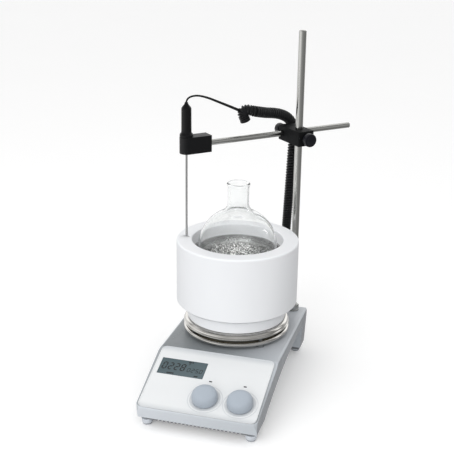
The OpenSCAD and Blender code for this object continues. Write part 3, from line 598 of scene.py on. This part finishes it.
# ------------------------------------------------------------------ mesh helpers
def link_mesh(name, verts, faces, material, sharp=32.0, matrix=None):
    """Object from points in millimetres; edges above `sharp` degrees stay crisp."""
    mesh = bpy.data.meshes.new(name)
    mesh.from_pydata([in_metres(point) for point in verts], [], [tuple(face) for face in faces])
    if matrix is not None:
        mesh.transform(matrix)
    edit = bmesh.new()
    edit.from_mesh(mesh)
    bmesh.ops.remove_doubles(edit, verts=edit.verts, dist=1e-7)
    bmesh.ops.recalc_face_normals(edit, faces=edit.faces)
    edit.to_mesh(mesh)
    edit.free()
    mesh.polygons.foreach_set("use_smooth", [True] * len(mesh.polygons))
    mesh.set_sharp_from_angle(angle=math.radians(sharp))
    mesh.materials.append(MATERIALS[material])
    mesh.update()
    obj = bpy.data.objects.new(name, mesh)
    scene.collection.objects.link(obj)
    return obj


def lathe(name, profile, material, centre=(0, 0), segments=128, matrix=None, closed=False,
          sharp=32.0, reshape=None):
    """Turns (radius, z) points about Z; points on the axis become one vertex.

    reshape(angle, radius, z) may return a changed radius."""
    verts, rings = [], []
    for radius, z in profile:
        if radius < 1e-6:
            rings.append([len(verts)])
            verts.append((centre[0], centre[1], z))
            continue
        rings.append(range(len(verts), len(verts) + segments))
        for i in range(segments):
            angle = 2 * math.pi * i / segments
            reach = reshape(angle, radius, z) if reshape else radius
            verts.append((centre[0] + reach * math.cos(angle),
                          centre[1] + reach * math.sin(angle), z))
    faces = []
    following = rings[1:] + (rings[:1] if closed else [])
    for ring, other in zip(rings, following):
        for i in range(segments):
            j = (i + 1) % segments
            if len(ring) == 1:
                faces.append((ring[0], other[i], other[j]))
            elif len(other) == 1:
                faces.append((ring[i], other[0], ring[j]))
            else:
                faces.append((ring[i], other[i], other[j], ring[j]))
    return link_mesh(name, verts, faces, material, sharp, matrix)


def arc(middle, radii, start, end, count):
    """Points along an upright ellipse from start to end degrees."""
    return [(middle[0] + radii[0] * math.cos(angle), middle[1] + radii[1] * math.sin(angle))
            for angle in np.radians(np.linspace(start, end, count))]


def extruded(name, solids, material, matrix):
    """Closed solids, each a stack of (outline, z) levels with equal point counts."""
    verts, faces = [], []
    for levels in solids:
        count, first = len(levels[0][0]), len(verts)
        top = first + (len(levels) - 1) * count
        for outline, z in levels:
            verts += [(x, y, z) for x, y in outline]
        faces.append(tuple(first + i for i in reversed(range(count))))
        faces.append(tuple(top + i for i in range(count)))
        for ring in range(first, top, count):
            for i in range(count):
                j = (i + 1) % count
                faces.append((ring + i, ring + j, ring + count + j, ring + count + i))
    return link_mesh(name, verts, faces, material, sharp=30.0, matrix=matrix)


def lengths_along(path):
    steps = np.linalg.norm(np.diff(path, axis=0), axis=1)
    return np.concatenate([[0], np.cumsum(steps)])


def smooth_curve(points, count):
    """Catmull-Rom curve through the points, as `count` evenly spaced points."""
    knots = [np.array(point, float) for point in points]
    knots = [2 * knots[0] - knots[1]] + knots + [2 * knots[-1] - knots[-2]]
    fine = []
    for before, start, end, after in zip(knots, knots[1:], knots[2:], knots[3:]):
        for t in np.linspace(0, 1, 40, endpoint=False):
            fine.append(0.5 * (2 * start + (end - before) * t
                               + (2 * before - 5 * start + 4 * end - after) * t * t
                               + (3 * start - before - 3 * end + after) * t ** 3))
    fine.append(knots[-2])
    fine = np.array(fine)
    distance = lengths_along(fine)
    places = np.linspace(0, distance[-1], count)
    return np.stack([np.interp(places, distance, fine[:, k]) for k in range(3)], 1)


def twist_free_normals(path):
    """Two normals at each point of a path that don't spin about it."""
    tangents = np.gradient(path, axis=0)
    tangents /= np.linalg.norm(tangents, axis=1)[:, None]
    normal = np.cross(tangents[0], [0.3, -0.8, 0.5])
    normals = [normal / np.linalg.norm(normal)]
    for tangent in tangents[1:]:
        normal = normals[-1] - tangent * (normals[-1] @ tangent)
        normals.append(normal / np.linalg.norm(normal))
    normals = np.array(normals)
    return normals, np.cross(tangents, normals)


def tube(name, path, radius, material, sides=12, sharp=40.0):
    """Capped round strand along a path; radius is a number or one per point."""
    normals, binormals = twist_free_normals(path)
    radii = np.broadcast_to(np.array(radius, float), len(path))
    verts, faces = [], []
    for i in range(len(path)):
        for k in range(sides):
            angle = 2 * math.pi * k / sides
            verts.append(path[i] + radii[i] * (math.cos(angle) * normals[i]
                                               + math.sin(angle) * binormals[i]))
    last = (len(path) - 1) * sides
    for ring in range(0, last, sides):
        for k in range(sides):
            j = (k + 1) % sides
            faces.append((ring + k, ring + j, ring + sides + j, ring + sides + k))
    faces.append(tuple(reversed(range(sides))))
    faces.append(tuple(last + k for k in range(sides)))
    return link_mesh(name, verts, faces, material, sharp)


def fit(obj, body, slot, *replaced):
    """Tells the frame what a piece moves with and hides the nodes it replaces; the slot is not used."""
    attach(obj, body)
    if replaced:
        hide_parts(*replaced)


# ------------------------------------------------------------------ CAD nodes
slots = {part["node"]: part.get("material_slot") for part in frame["record"]["subparts"]}
for name, obj in nodes.items():
    obj.data.materials.clear()
    obj.data.materials.append(MATERIALS[slots[name]])


def add_modifier(obj, kind, **settings):
    modifier = obj.modifiers.new(kind.title(), kind)
    for key, value in settings.items():
        setattr(modifier, key, value)


def soften(node, width):
    """Rounds a CAD node's edges with modifiers only."""
    obj = nodes[node]
    mesh = obj.data
    for attribute in ("custom_normal", "sharp_edge"):
        if attribute in mesh.attributes:
            mesh.attributes.remove(mesh.attributes[attribute])
    mesh.polygons.foreach_set("use_smooth", [True] * len(mesh.polygons))
    add_modifier(obj, "WELD", merge_threshold=2e-6)
    if width:
        add_modifier(obj, "BEVEL", width=width * MM, segments=2, limit_method="ANGLE",
                     angle_limit=math.radians(32.0), use_clamp_overlap=False,
                     harden_normals=False)
    add_modifier(obj, "WEIGHTED_NORMAL", weight=60, keep_sharp=False)


# bevel width of each softened node; 0 smooths without a bevel
EDGE_WIDTHS = {
    "housing_shell": 0.35, "front_panel": 0.22, "boss_head": 0.5, "probe_holder": 0.55,
    "base_plate": 0.2, "foot_cups": 0.3, "foot_pads": 0.2, "switch_body": 0.25,
    "power_rocker": 0.3, "power_inlet": 0.25, "data_port": 0.15, "probe_socket": 0.2,
    "rod_nut": 0.3, "motor_bracket": 0.2, "block_shell": 0.0,
}
for name, width in EDGE_WIDTHS.items():
    soften(name, width)


# ------------------------------------------------------------------ hot plate and its shield
def build_hot_plate():
    """Disc with a rounded rim, a curved flank and a recess under the flask block."""
    bottom, _, radius = extents("hot_plate")
    recess = extents("block_core")[0] - 0.05
    seat = extents("block_ring")[0]
    rim, flank_start, flank_steps = 1.3, 2.6, 12
    profile = [(0, bottom), (radius - 3.0, bottom)]
    profile += arc((radius - rim, bottom + 1.35), (rim, rim), -88, 60, 11)
    rise = seat - 0.75 - bottom - flank_start
    for k in range(1, flank_steps + 1):
        angle = k / flank_steps * math.pi / 2
        profile.append((radius - 1.0 - 4.6 * (1 - math.cos(angle)),
                        bottom + flank_start + rise * math.sin(angle) ** 0.9))
    profile += [(radius - 6.2, seat - 0.5), (radius - 7.0, seat - 0.35),
                (radius - 8.6, seat - 0.35), (radius - 9.3, seat - 0.6),
                (radius - 9.7, seat - 1.3), (radius - 9.9, recess + 0.1),
                (radius - 10.6, recess - 0.02), (0, recess - 0.02)]
    disc = lathe("hot_plate_disc", profile, "plate_steel", PLATE, segments=192)
    fit(disc, "base", "plate_steel", "hot_plate")


def build_heat_shield():
    """Shallow pan with a rolled rim and a central hole."""
    bottom, top, radius = extents("heat_shield")
    hole, rim, sheet = 12, 2.7, 1.3
    half = (top - bottom) / 2
    profile = [(hole, bottom), (radius - 3.0, bottom)]
    profile += arc((radius - rim, bottom + half), (rim, half), -86, 90, 21)
    profile += [(radius - 3.6, top - 0.1), (radius - 3.9, top - 0.6),
                (radius - 3.9, bottom + sheet), (hole, bottom + sheet)]
    pan = lathe("heat_shield_pan", profile, "shield_steel", PLATE, segments=192, closed=True)
    fit(pan, "base", "shield_steel", "heat_shield")


build_hot_plate()
build_heat_shield()


# ------------------------------------------------------------------ knobs on the panel
def build_panel_knob(name, node, body):
    """Hollow cap with a bored hub, domed by a superellipse."""
    radius = extents(node)[2]
    base, shoulder, top = 2.2, 6.2, 16.1  # heights off the panel face
    profile = [(0, base + 9.6), (3.0, base + 9.6), (3.0, base + 0.4), (3.3, base + 0.4),
               (5.2, base + 0.4), (5.2, base + 6.2), (13.4, base + 6.2), (14.5, base),
               (radius - 0.5, base), (radius - 0.05, base + 0.5), (radius - 0.02, base + 3.6)]
    side_power, crown_power = 2 / 3.6, 2 / 2.5
    for angle in np.radians(np.linspace(2, 90, 22)):
        profile.append((radius * math.cos(angle) ** side_power,
                        shoulder + (top - shoulder) * math.sin(angle) ** crown_power))
    place = on_panel(centre(node).x, KNOB_DOWN)
    cap = lathe(name, profile, "knob_grey", segments=96, matrix=place, sharp=45)
    fit(cap, body, "knob_grey", node)


build_panel_knob("speed_knob_cap", "speed_knob", "speed_dial")
build_panel_knob("heat_knob_cap", "heat_knob", "heat_dial")

# ------------------------------------------------------------------ display
DISPLAY_FRAME = on_panel(-38.5, 35.2)
DISPLAY_WIDTH, DISPLAY_HEIGHT = 61.0, 27.5
INK_BOTTOM = 1.12  # sunk a little below the face of the glass

# strokes of each digit: a top, b and c right, d bottom, e and f left, g middle
STROKES = {"0": "abcdef", "1": "bc", "2": "abged", "3": "abgcd", "4": "fgbc", "5": "afgcd",
           "6": "afgcde", "7": "abc", "8": "abcdefg", "9": "abcdfg"}

# solid marks as fractions of the display: left, top, right, bottom
MARKS = ((0.588, 0.06, 0.70, 0.125), (0.607, 0.155, 0.645, 0.20), (0.618, 0.22, 0.632, 0.27),
         (0.205, 0.86, 0.36, 0.93), (0.80, 0.865, 0.885, 0.935))


def rounded_rectangle(width, height, radius, steps):
    points = []
    for turn, (x, y) in enumerate(((-1, -1), (1, -1), (1, 1), (-1, 1))):
        for step in range(steps + 1):
            angle = math.pi + (turn + step / steps) * math.pi / 2
            points.append((x * (width / 2 - radius) + radius * math.cos(angle),
                           y * (height / 2 - radius) + radius * math.sin(angle)))
    return points


def on_display(across, down):
    """Point from fractions of the display's width and height, from its top left corner."""
    return (across * DISPLAY_WIDTH - DISPLAY_WIDTH / 2,
            DISPLAY_HEIGHT / 2 - down * DISPLAY_HEIGHT)


def rectangle(left, bottom, right, top):
    return [(left, bottom), (right, bottom), (right, top), (left, top)]


def digit_row(text, origin, pitch, width, height, stroke, slant=0.12):
    """Seven-segment digits as closed outlines; origin is the lower left corner."""
    half, gap = stroke / 2, stroke * 0.10

    def level(y):
        left, right = half + gap, width - half - gap
        return [(left, y), (left + half, y + half), (right - half, y + half),
                (right, y), (right - half, y - half), (left + half, y - half)]

    def upright(x, low, high):
        low, high = low + gap, high - gap
        return [(x, low), (x + half, low + half), (x + half, high - half),
                (x, high), (x - half, high - half), (x - half, low + half)]

    middle = height / 2
    shapes = {
        "a": level(height - half), "g": level(middle), "d": level(half),
        "f": upright(half, middle, height - half),
        "b": upright(width - half, middle, height - half),
        "e": upright(half, half, middle), "c": upright(width - half, half, middle),
    }
    return [[(origin[0] + i * pitch + x + slant * y, origin[1] + y) for x, y in shapes[key]]
            for i, digit in enumerate(text) for key in STROKES[digit]]


def build_display():
    """Glass with a bevelled face, and two sets of figures standing just proud of it."""
    margin, bevel, glass_bottom, glass_top = 0.1, 0.12, 0.05, 1.15
    outline = rounded_rectangle(DISPLAY_WIDTH - margin, DISPLAY_HEIGHT - margin,
                                radius=0.7, steps=5)
    face = []
    for x, y in outline:
        shrink = 1 - bevel / math.hypot(x, y)
        face.append((x * shrink, y * shrink))
    levels = [(outline, glass_bottom), (outline, glass_top - bevel), (face, glass_top)]
    glass = extruded("display_glass", [levels], "lcd_glass", DISPLAY_FRAME)
    fit(glass, "base", "lcd_glass", "lcd_window")

    large = digit_row("0228", on_display(0.045, 0.70), pitch=8.15, width=6.4, height=12.6,
                      stroke=1.75)
    for left, top, right, bottom in MARKS:
        large.append(rectangle(*on_display(left, bottom), *on_display(right, top)))

    x, y = on_display(0.605, 0.70)
    pitch = 5.45
    small = digit_row("0250", (x, y), pitch, width=4.2, height=7.0, stroke=1.0)
    point = x + 2 * pitch + 4.75  # left edge of the decimal point, after the third digit
    small.append(rectangle(point, y, point + 0.65, y + 0.7))

    for name, shapes, top, ink in (("display_digits", large, 1.175, "lcd_ink"),
                                   ("display_digits_small", small, 1.172, "lcd_ink_faint")):
        solids = [[(shape, INK_BOTTOM), (shape, top)] for shape in shapes]
        fit(extruded(name, solids, ink, DISPLAY_FRAME), "base", "lcd_back")


build_display()


# ------------------------------------------------------------------ flask
def build_flask():
    """Round bulb, straight neck and rolled rim, outer skin first and then the inner one."""
    bottom, top, bulb = extents("flask")
    bulb_z = bottom + bulb
    wall, neck, flare = 2.0, 14.0, 14.0
    bore = neck - wall
    # the flare between bulb and neck has one centre for both skins
    flare_r = neck + flare
    flare_rise = math.sqrt((bulb + flare) ** 2 - flare_r ** 2)
    flare_z = bulb_z + flare_rise
    join = math.degrees(math.atan2(flare_rise, flare_r))
    profile = arc((0, bulb_z), (bulb, bulb), -90, join, 61)
    profile += arc((flare_r, flare_z), (flare, flare), join + 180, 180, 13)[1:]
    profile += [(neck, top - 5.6), (neck + 0.35, top - 4.6), (15.05, top - 3.7)]
    profile += arc((13.6, top - 1.75), (1.7, 1.75), -30, 90, 5)
    profile += [(12.9, top - 0.25), (bore + 0.1, top - 1.0), (bore, top - 1.8)]
    profile += arc((flare_r, flare_z), (flare + wall, flare + wall), 180, 180 + join, 13)
    profile += arc((0, bulb_z), (bulb - wall, bulb - wall), join, -90, 61)[1:]
    flask = lathe("flask_round_bottom", profile, "flask_glass", PLATE, sharp=60)
    fit(flask, "flask_body", "flask_glass", "flask")
    return flask


flask = build_flask()


# ------------------------------------------------------------------ clamp thumb screws
def build_thumb_screw(name, node, body, start, side, shank, collar, head, radius):
    """Screw with a collar and a fluted head.

    It starts `start` across the arm and points to side +1 or -1."""
    neck = shank + collar - 0.2
    end = neck + head
    profile = [(0, 0.1), (1.9, 0.1), (2.45, 0.7), (2.45, shank), (4.4, shank),
               (4.6, shank + 0.3), (4.6, shank + collar - 0.5), (4.2, neck),
               (radius - 1.1, neck + 0.02), (radius - 0.35, neck + 0.3),
               (radius - 0.02, neck + 1.1), (radius - 0.02, end - 1.2),
               (radius - 0.35, end - 0.35), (radius - 1.2, end - 0.02),
               (5.6, end - 0.02), (5.3, end - 0.25), (0, end - 0.3)]
    flutes, flute_depth = 36, 0.16

    def fluted(angle, reach, z):
        if reach > radius - 0.1 and neck + 1.0 < z < end - 1.0:
            return reach - flute_depth * (0.5 + 0.5 * math.cos(flutes * angle))
        return reach

    place = clamp_frame(start) @ Matrix.Rotation(math.radians(-90 * side), 4, "X")
    screw = lathe(name, profile, "knob_black", segments=216, matrix=place, sharp=40,
                  reshape=fluted)
    fit(screw, body, "knob_black", node)


build_thumb_screw("rod_clamp_thumb_screw", "rod_clamp_screw", "rod_screw", start=5.15, side=1,
                  shank=13.1, collar=4.0, head=7.5, radius=9.0)
build_thumb_screw("arm_clamp_thumb_screw", "arm_clamp_screw", "arm_screw", start=-26.65,
                  side=-1, shank=6.6, collar=8.8, head=9.0, radius=7.6)

# ------------------------------------------------------------------ probe handle and lead
HANDLE_BOTTOM = extents("probe_handle")[0]

# radius and height above the handle's lower end
HANDLE_PROFILE = (
    (1.55, 0.0), (7.9, 0.0), (8.55, 0.25), (8.8, 0.9), (8.75, 2.6), (8.3, 3.7), (7.2, 4.8),
    (6.75, 5.8), (6.62, 8.0), (6.5, 36.0), (6.35, 37.2), (5.6, 38.6), (3.1, 41.6),
    (2.5, 42.6), (2.2, 44.2), (1.9, 44.5), (1.62, 44.4), (1.62, 41.1), (0.0, 41.0),
)
grip = lathe("probe_grip", [(radius, HANDLE_BOTTOM + z) for radius, z in HANDLE_PROFILE],
             "handle_black", PROBE, segments=64, sharp=28)
fit(grip, "probe", "handle_black", "probe_handle")

# the lead's path: x, y, z from where it leaves the handle, and its far end in the frame
LEAD_START = (PROBE.x, PROBE.y, HANDLE_BOTTOM + 43.0)
LEAD_OFFSETS = (
    (0, 0, 0), (0.2, 0.2, 3.0), (2.2, 1.9, 6.6), (6.5, 5.6, 8.6), (13.0, 12.0, 8.3),
    (22.0, 22.0, 4.2), (32.0, 34.0, -2.6), (44.5, 48.0, -11.0),
)
LEAD_END = (-13.6, 88.4, 356.6)


def build_probe_lead():
    """Lead in three lengths, each running between two neighbouring bodies; they are baked in place and not
    attached to any body.
    """
    bodies = ("probe", "holder", "arm", "boss")
    length = 40  # path steps in each
    count = 3 * length + 1
    points = [tuple(a + b for a, b in zip(LEAD_START, offset)) for offset in LEAD_OFFSETS]
    path = smooth_curve(points + [LEAD_END], count)
    radii = np.interp(np.linspace(0, 1, count), [0, 0.12, 0.4, 1], [1.1, 1.2, 1.45, 1.95])
    for i, (near, far) in enumerate(zip(bodies, bodies[1:])):
        span = slice(i * length, (i + 1) * length + 1)
        part = path[span]
        lead = tube(f"probe_lead_{i + 1}", part, radii[span], "lead_black")
        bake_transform(lead)
        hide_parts("probe_lead")


build_probe_lead()


# ------------------------------------------------------------------ coiled cord
def bezier(controls, t):
    start, first, second, end = (np.array(point, float) for point in controls)
    return ((1 - t) ** 3 * start + 3 * t * (1 - t) ** 2 * first
            + 3 * t * t * (1 - t) * second + t ** 3 * end)


# centre line of the coil, from the boss over the top and down behind to the plug
TOP_BEND = [(-11.6, 80, 358), (14, 114, 345), (38, 168, 351), (43.5, 170, 314)]
LOW_BEND = [(36.2, 170, 130), (35, 171, 90), (40, 184, 62), (40, 176, 44)]
COIL_START = [(-5.7, 92.4, 342.2), (-7.4, 91.6, 347.0), (-9.0, 90.8, 351.6),
              (-8.0, 91.2, 355.6), (-2.9, 93.4, 357.0), (5.5, 98.0, 354.6)]
COIL_DROP = [(42.6, 169.2, 290), (40.8, 169.2, 245), (38.6, 169.4, 195), (37.2, 169.7, 160),
             (36.2, 170, 130)]
coil_points = (COIL_START
               + [bezier(TOP_BEND, t) for t in (0.36, 0.46, 0.58, 0.7, 0.8, 0.9, 1.0)]
               + COIL_DROP
               + [bezier(LOW_BEND, t) for t in (0.25, 0.5, 0.75, 1.0)])
coil_path = smooth_curve(coil_points, 4001)
coil_lengths = lengths_along(coil_path)

# the winding changes below these heights, and at this length along the coil
UPPER_Z, LOWER_Z = 322, 250
OPENING_LENGTH = 24


def pitch(distance, z):
    """Advance per turn at a length along the coil and a height."""
    if distance < 0.35:
        return 0.3
    if distance < OPENING_LENGTH:
        # turns crowd together around 13 mm along
        return 2.9 - 1.1 * math.exp(-((distance - 13.0) / 4.5) ** 2)
    if z > UPPER_Z:
        return min(4.3, 2.9 + (distance - OPENING_LENGTH) * 0.25)
    if z > LOWER_Z:
        return 4.3 - 0.3 * min(1.0, (UPPER_Z - z) / 20.0)
    return 4.0 - 0.6 * min(1.0, (LOWER_Z - z) / 80.0)


def winding(distance, z):
    """Radius of the wire and mean radius of the turns."""
    if z > UPPER_Z:
        blend = min(1.0, max(0.0, (distance - OPENING_LENGTH) / 6.0))
        return 1.3 + 0.42 * blend, 5.9 - 0.15 * blend
    if z > LOWER_Z:
        blend = min(1.0, (UPPER_Z - z) / 20.0)
        return 1.72 + 0.05 * blend, 5.75 - 0.55 * blend
    blend = min(1.0, (LOWER_Z - z) / 80.0)
    return 1.77 - 0.25 * blend, 5.2 + 0.1 * blend


def wind_strand(points_per_turn=14):
    """Helix on the coil path: its points, wire radii and places on the path."""
    turns = np.zeros(len(coil_path))
    for i in range(1, len(coil_path)):
        step = coil_lengths[i] - coil_lengths[i - 1]
        turns[i] = turns[i - 1] + step / pitch(coil_lengths[i], coil_path[i][2])
    samples = np.arange(0, turns[-1], 1.0 / points_per_turn)

    def sampled(rows):
        return np.stack([np.interp(samples, turns, rows[:, k]) for k in range(3)], 1)

    normals, binormals = twist_free_normals(coil_path)
    middle = sampled(coil_path)
    distances = np.interp(samples, turns, coil_lengths)
    radii = np.array([winding(distance, z) for distance, z in zip(distances, middle[:, 2])])
    angle = 2 * math.pi * samples
    points = middle + radii[:, 1:] * (np.cos(angle)[:, None] * sampled(normals)
                                      + np.sin(angle)[:, None] * sampled(binormals))
    places = np.interp(samples, turns, np.arange(len(coil_path))).astype(int)
    return points, radii[:, 0], places


strand, wire_radii, strand_places = wind_strand()


def first_below(z, after):
    """First strand point lower than z, past a fraction of the strand."""
    late = np.arange(len(strand)) > len(strand) * after
    return int(np.argmax((strand[:, 2] < z) & late))


def fit_cord(obj, body, other):
    """Cord between two places on the coil path; it rides one body, or with a second body given it is baked in
    place and rides neither.
    """
    if other is None:
        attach(obj, body)
    else:
        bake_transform(obj)
    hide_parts("coiled_cord")


def build_cord_part(name, first, last, body, other):
    """Length of strand with a liner that closes the coil from inside."""
    start, end = strand_places[first], strand_places[last]
    coil = tube(name, strand[first:last + 1], wire_radii[first:last + 1], "cord_black",
                sides=8, sharp=50)
    fit_cord(coil, body, other)

    # the liner stops short of the coil's two ends
    if first == 0:
        start += 30
    if last == len(strand) - 1:
        end -= 20
    span = slice(start, end + 1, 6)
    line = coil_path[span]
    radii = []
    for distance, point in zip(coil_lengths[span], line):
        wire, mean = winding(distance, point[2])
        radii.append(mean - 0.5 * wire)
    liner = tube(name + "_liner", line, radii, "cord_black", sides=20, sharp=50)
    fit_cord(liner, body, other)


boss_end = first_below(312, after=0.15)
rod_end = first_below(128, after=0.3)
build_cord_part("coiled_cord_top", 0, boss_end, "boss", None)
build_cord_part("coiled_cord_run", boss_end, rod_end, "boss", "stand_rod")
build_cord_part("coiled_cord_low", rod_end, len(strand) - 1, "stand_rod", "base")


def build_cord_tail():
    """Smooth jacket from the coil's lower end down to the plug."""
    plug_x = 40
    plug_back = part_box("cord_plug")[1].y / MM
    path = smooth_curve([
        tuple(strand[-1]), ((strand[-1][0] + plug_x) / 2, 176.5, 40.0), (plug_x, 176.0, 35.0),
        (plug_x, 174.0, 31.2), (plug_x, plug_back - 1.0, 30.0)], 24)
    fit(tube("cord_tail", path, 1.7, "cord_black"), "base", "cord_black", "coiled_cord")


build_cord_tail()

# ------------------------------------------------------------------ camera
AZIMUTH = math.radians(15.94)  # from the front towards +X
ELEVATION = math.radians(19.59)
ROLL = math.radians(0.76)
CAMERA_TARGET = Vector((14.5, -60.06, 247.08))
CAMERA_DISTANCE = 1175.99


def build_camera():
    back = Vector((math.sin(AZIMUTH) * math.cos(ELEVATION),
                   -math.cos(AZIMUTH) * math.cos(ELEVATION), math.sin(ELEVATION)))
    right = Vector((math.cos(AZIMUTH), math.sin(AZIMUTH), 0))
    up = right.cross(-back)
    rolled_x = right * math.cos(ROLL) + up * math.sin(ROLL)
    rolled_y = -right * math.sin(ROLL) + up * math.cos(ROLL)
    data = bpy.data.cameras.new("camera")
    data.sensor_width = 36.0
    data.lens = 77.285022
    data.clip_start, data.clip_end = 0.05, 100
    camera = bpy.data.objects.new("camera", data)
    scene.collection.objects.link(camera)
    turn = Matrix((rolled_x, rolled_y, back)).transposed().to_4x4()
    place = (CAMERA_TARGET + back * CAMERA_DISTANCE) * MM
    camera.matrix_world = Matrix.Translation(place) @ turn
    scene.camera = camera


build_camera()

# ------------------------------------------------------------------ floor and surround
# Brightness seen in reflections: (position, level). Position runs once round the object
# from 0 to 1, with 0.5 towards the camera and larger values to its right.
PEAK = 1.5  # ramps hold levels as fractions of this
FLOOR_CARDS = (
    (0.0, 0.9), (0.15, 0.9), (0.22, 0.95), (0.28, 1.25), (0.33, 1.25), (0.40, 0.9),
    (0.46, 0.5), (0.5, 0.40), (0.59, 0.31), (0.69, 0.26), (0.80, 0.25), (0.88, 0.6),
    (1.0, 0.9),
)
LOW_CARDS = (
    (0.0, 1.2), (0.12, 1.4), (0.17, 0.4), (0.22, 0.9), (0.29, 0.5), (0.37, 0.7),
    (0.44, 0.5), (0.5, 0.62), (0.6, 0.5), (0.68, 0.5), (0.74, 0.25), (0.785, 1.4),
    (0.83, 0.3), (0.87, 1.5), (1.0, 1.2),
)
HIGH_CARDS = (
    (0.0, 0.7), (0.06, 0.9), (0.10, 1.5), (0.135, 0.3), (0.165, 1.5), (0.21, 0.5),
    (0.30, 0.15), (0.38, 0.2), (0.45, 0.36), (0.5, 0.33), (0.60, 0.26), (0.68, 0.34),
    (0.74, 0.15), (0.785, 1.3), (0.82, 0.25), (0.85, 1.5), (0.88, 0.35), (0.91, 1.5),
    (0.95, 0.9), (1.0, 0.7),
)


def camera_parts(shader, vector):
    """Parts of a direction to the camera's right and towards the camera."""
    x, y, _ = shader.split(vector)
    sin, cos = math.sin(AZIMUTH), math.cos(AZIMUTH)
    return (shader.add(shader.mul(x, cos), shader.mul(y, sin)),
            shader.sub(shader.mul(x, sin), shader.mul(y, cos)))


def position_round(shader, right, toward):
    angle = shader.math("ARCTAN2", right, toward)
    return shader.remap(angle, span=(-math.pi, math.pi))


def cards(shader, position, levels):
    return shader.ramp(position, [(place, grey(level / PEAK)) for place, level in levels])


def mirror_rays(shader, rays):
    """1 for reflected rays that haven't come through glass."""
    return shader.mul(rays["Is Glossy Ray"], shader.sub(1.0, rays["Is Transmission Ray"]))


def floor_material():
    """Pale to the eye, darker for bounced light, a ring of cards in reflections."""
    mat = new_material("floor_pale")
    rays = mat.node("ShaderNodeLightPath").outputs
    pale = mat.mix(mat.noise(scale=3.0, detail=3.0), grey(0.90), grey(0.92))
    mirror = mirror_rays(mat, rays)
    seen = mat.sub(1.0, mat.math("MAXIMUM", rays["Is Diffuse Ray"], mirror))
    incoming = mat.node("ShaderNodeNewGeometry").outputs["Incoming"]
    # reversed, so that it is the way the ray travels
    right, toward = (mat.mul(part, -1.0) for part in camera_parts(mat, incoming))
    card = cards(mat, position_round(mat, right, toward), FLOOR_CARDS)
    unseen = mat.mix(mirror, grey(0.42), grey(0.0))
    surface = mat.principled(mat.mix(seen, unseen, pale), rough=0.9, Specular_IOR_Level=0.1)
    surface.inputs["Emission Color"].default_value = (1, 1, 1, 1)
    level = mat.node("ShaderNodeSeparateColor")
    mat.link(card, level.inputs[0])
    reflected = mat.mul(mat.mul(mirror, level.outputs[0]), PEAK)
    glow = mat.add(mat.mul(seen, 0.19), reflected)
    mat.link(glow, surface.inputs["Emission Strength"])


floor_material()
bpy.ops.mesh.primitive_plane_add(size=60, location=(0, 0, -0.0002))  # metres
floor = bpy.context.object
floor.name = "floor"
floor.data.materials.append(MATERIALS["floor_pale"])


def build_world():
    """White to the eye, card bands in reflections, soft uneven light for the rest."""
    world = bpy.data.worlds.new("studio")
    scene.world = world
    world.use_nodes = True
    sky = Shader(world.node_tree, output="ShaderNodeOutputWorld", space="Generated")
    z = sky.split(sky.coords)[2]
    right, toward = camera_parts(sky, sky.coords)
    position = position_round(sky, right, toward)
    low = cards(sky, position, LOW_CARDS)
    high = cards(sky, position, HIGH_CARDS)
    bands = sky.mix(sky.remap(z, span=(0.42, 0.68), smooth=True), low, high)
    brighten = sky.vector_math("SCALE", bands)
    brighten.inputs[3].default_value = PEAK

    # brighter from the camera side and its left, evening out to one level overhead
    level = sky.add(sky.add(0.74, sky.mul(toward, 0.36)), sky.mul(right, -0.20))
    level = sky.math("MAXIMUM", level, 0.2)
    level = sky.add(sky.mul(level, sky.remap(z, span=(0.2, 1.0), to=(1.0, 0.0))),
                    sky.mul(sky.remap(z, span=(0.2, 1.0)), 0.88))
    soft = sky.combine(level, level, level)

    rays = sky.node("ShaderNodeLightPath").outputs
    color = sky.mix(mirror_rays(sky, rays), soft, brighten.outputs[0])
    direct = sky.math("MAXIMUM", rays["Is Camera Ray"], rays["Is Transmission Ray"])
    color = sky.mix(direct, color, grey(1.0))
    background = sky.node("ShaderNodeBackground")
    sky.link(color, background.inputs[0])
    background.inputs[1].default_value = 1.0
    sky.link(background.outputs[0], sky.output.inputs[0])


build_world()


# ------------------------------------------------------------------ lights
def area_light(name, place, target, size, power, only=None):
    """Rectangular light; size in metres, power in watts.

    With `only`, it reaches that object alone and shows in its reflections, not as
    diffuse light. Other lights never show in reflections."""
    data = bpy.data.lights.new(name, "AREA")
    data.shape = "RECTANGLE"
    data.size, data.size_y = size
    data.energy = power
    light = bpy.data.objects.new(name, data)
    light.location = Vector(place) * MM
    light.rotation_mode = "QUATERNION"
    light.rotation_quaternion = (Vector(target) - Vector(place)).to_track_quat("-Z", "Y")
    scene.collection.objects.link(light)
    light.visible_glossy = only is not None
    if only is not None:
        light.visible_diffuse = False
        reach = bpy.data.collections.new(name + "_reach")
        reach.objects.link(only)
        light.light_linking.receiver_collection = reach


area_light("key_left", (-250, -1550, 1000), (0, 0, 120), size=(1.0, 1.0), power=7.0)
area_light("top_soft", (0, 100, 1600), (0, 0, 100), size=(1.2, 1.2), power=2.0)
area_light("front_low", (150, -1500, 250), (0, 0, 120), size=(1.2, 0.8), power=3.0)
# two small lamps for the bowl of the block, and a strip for the flask
for name, place in (("lamp_a", (833, -158, 1225)), ("lamp_b", (444, -628, 1260))):
    area_light(name, place, (-20, 90, 166), size=(0.2, 0.2), power=5.0,
               only=nodes["block_core"])
area_light("lamp_strip", (870, 750, 600), (PLATE.x, PLATE.y, 150), size=(0.05, 0.22),
           power=1.0, only=flask)

view = scene.view_settings
view.view_transform = "Standard"
view.look = "None"
view.exposure = 0.0
view.gamma = 1.0

# ------------------------------------------------------------------ scene update
bpy.context.view_layer.update()
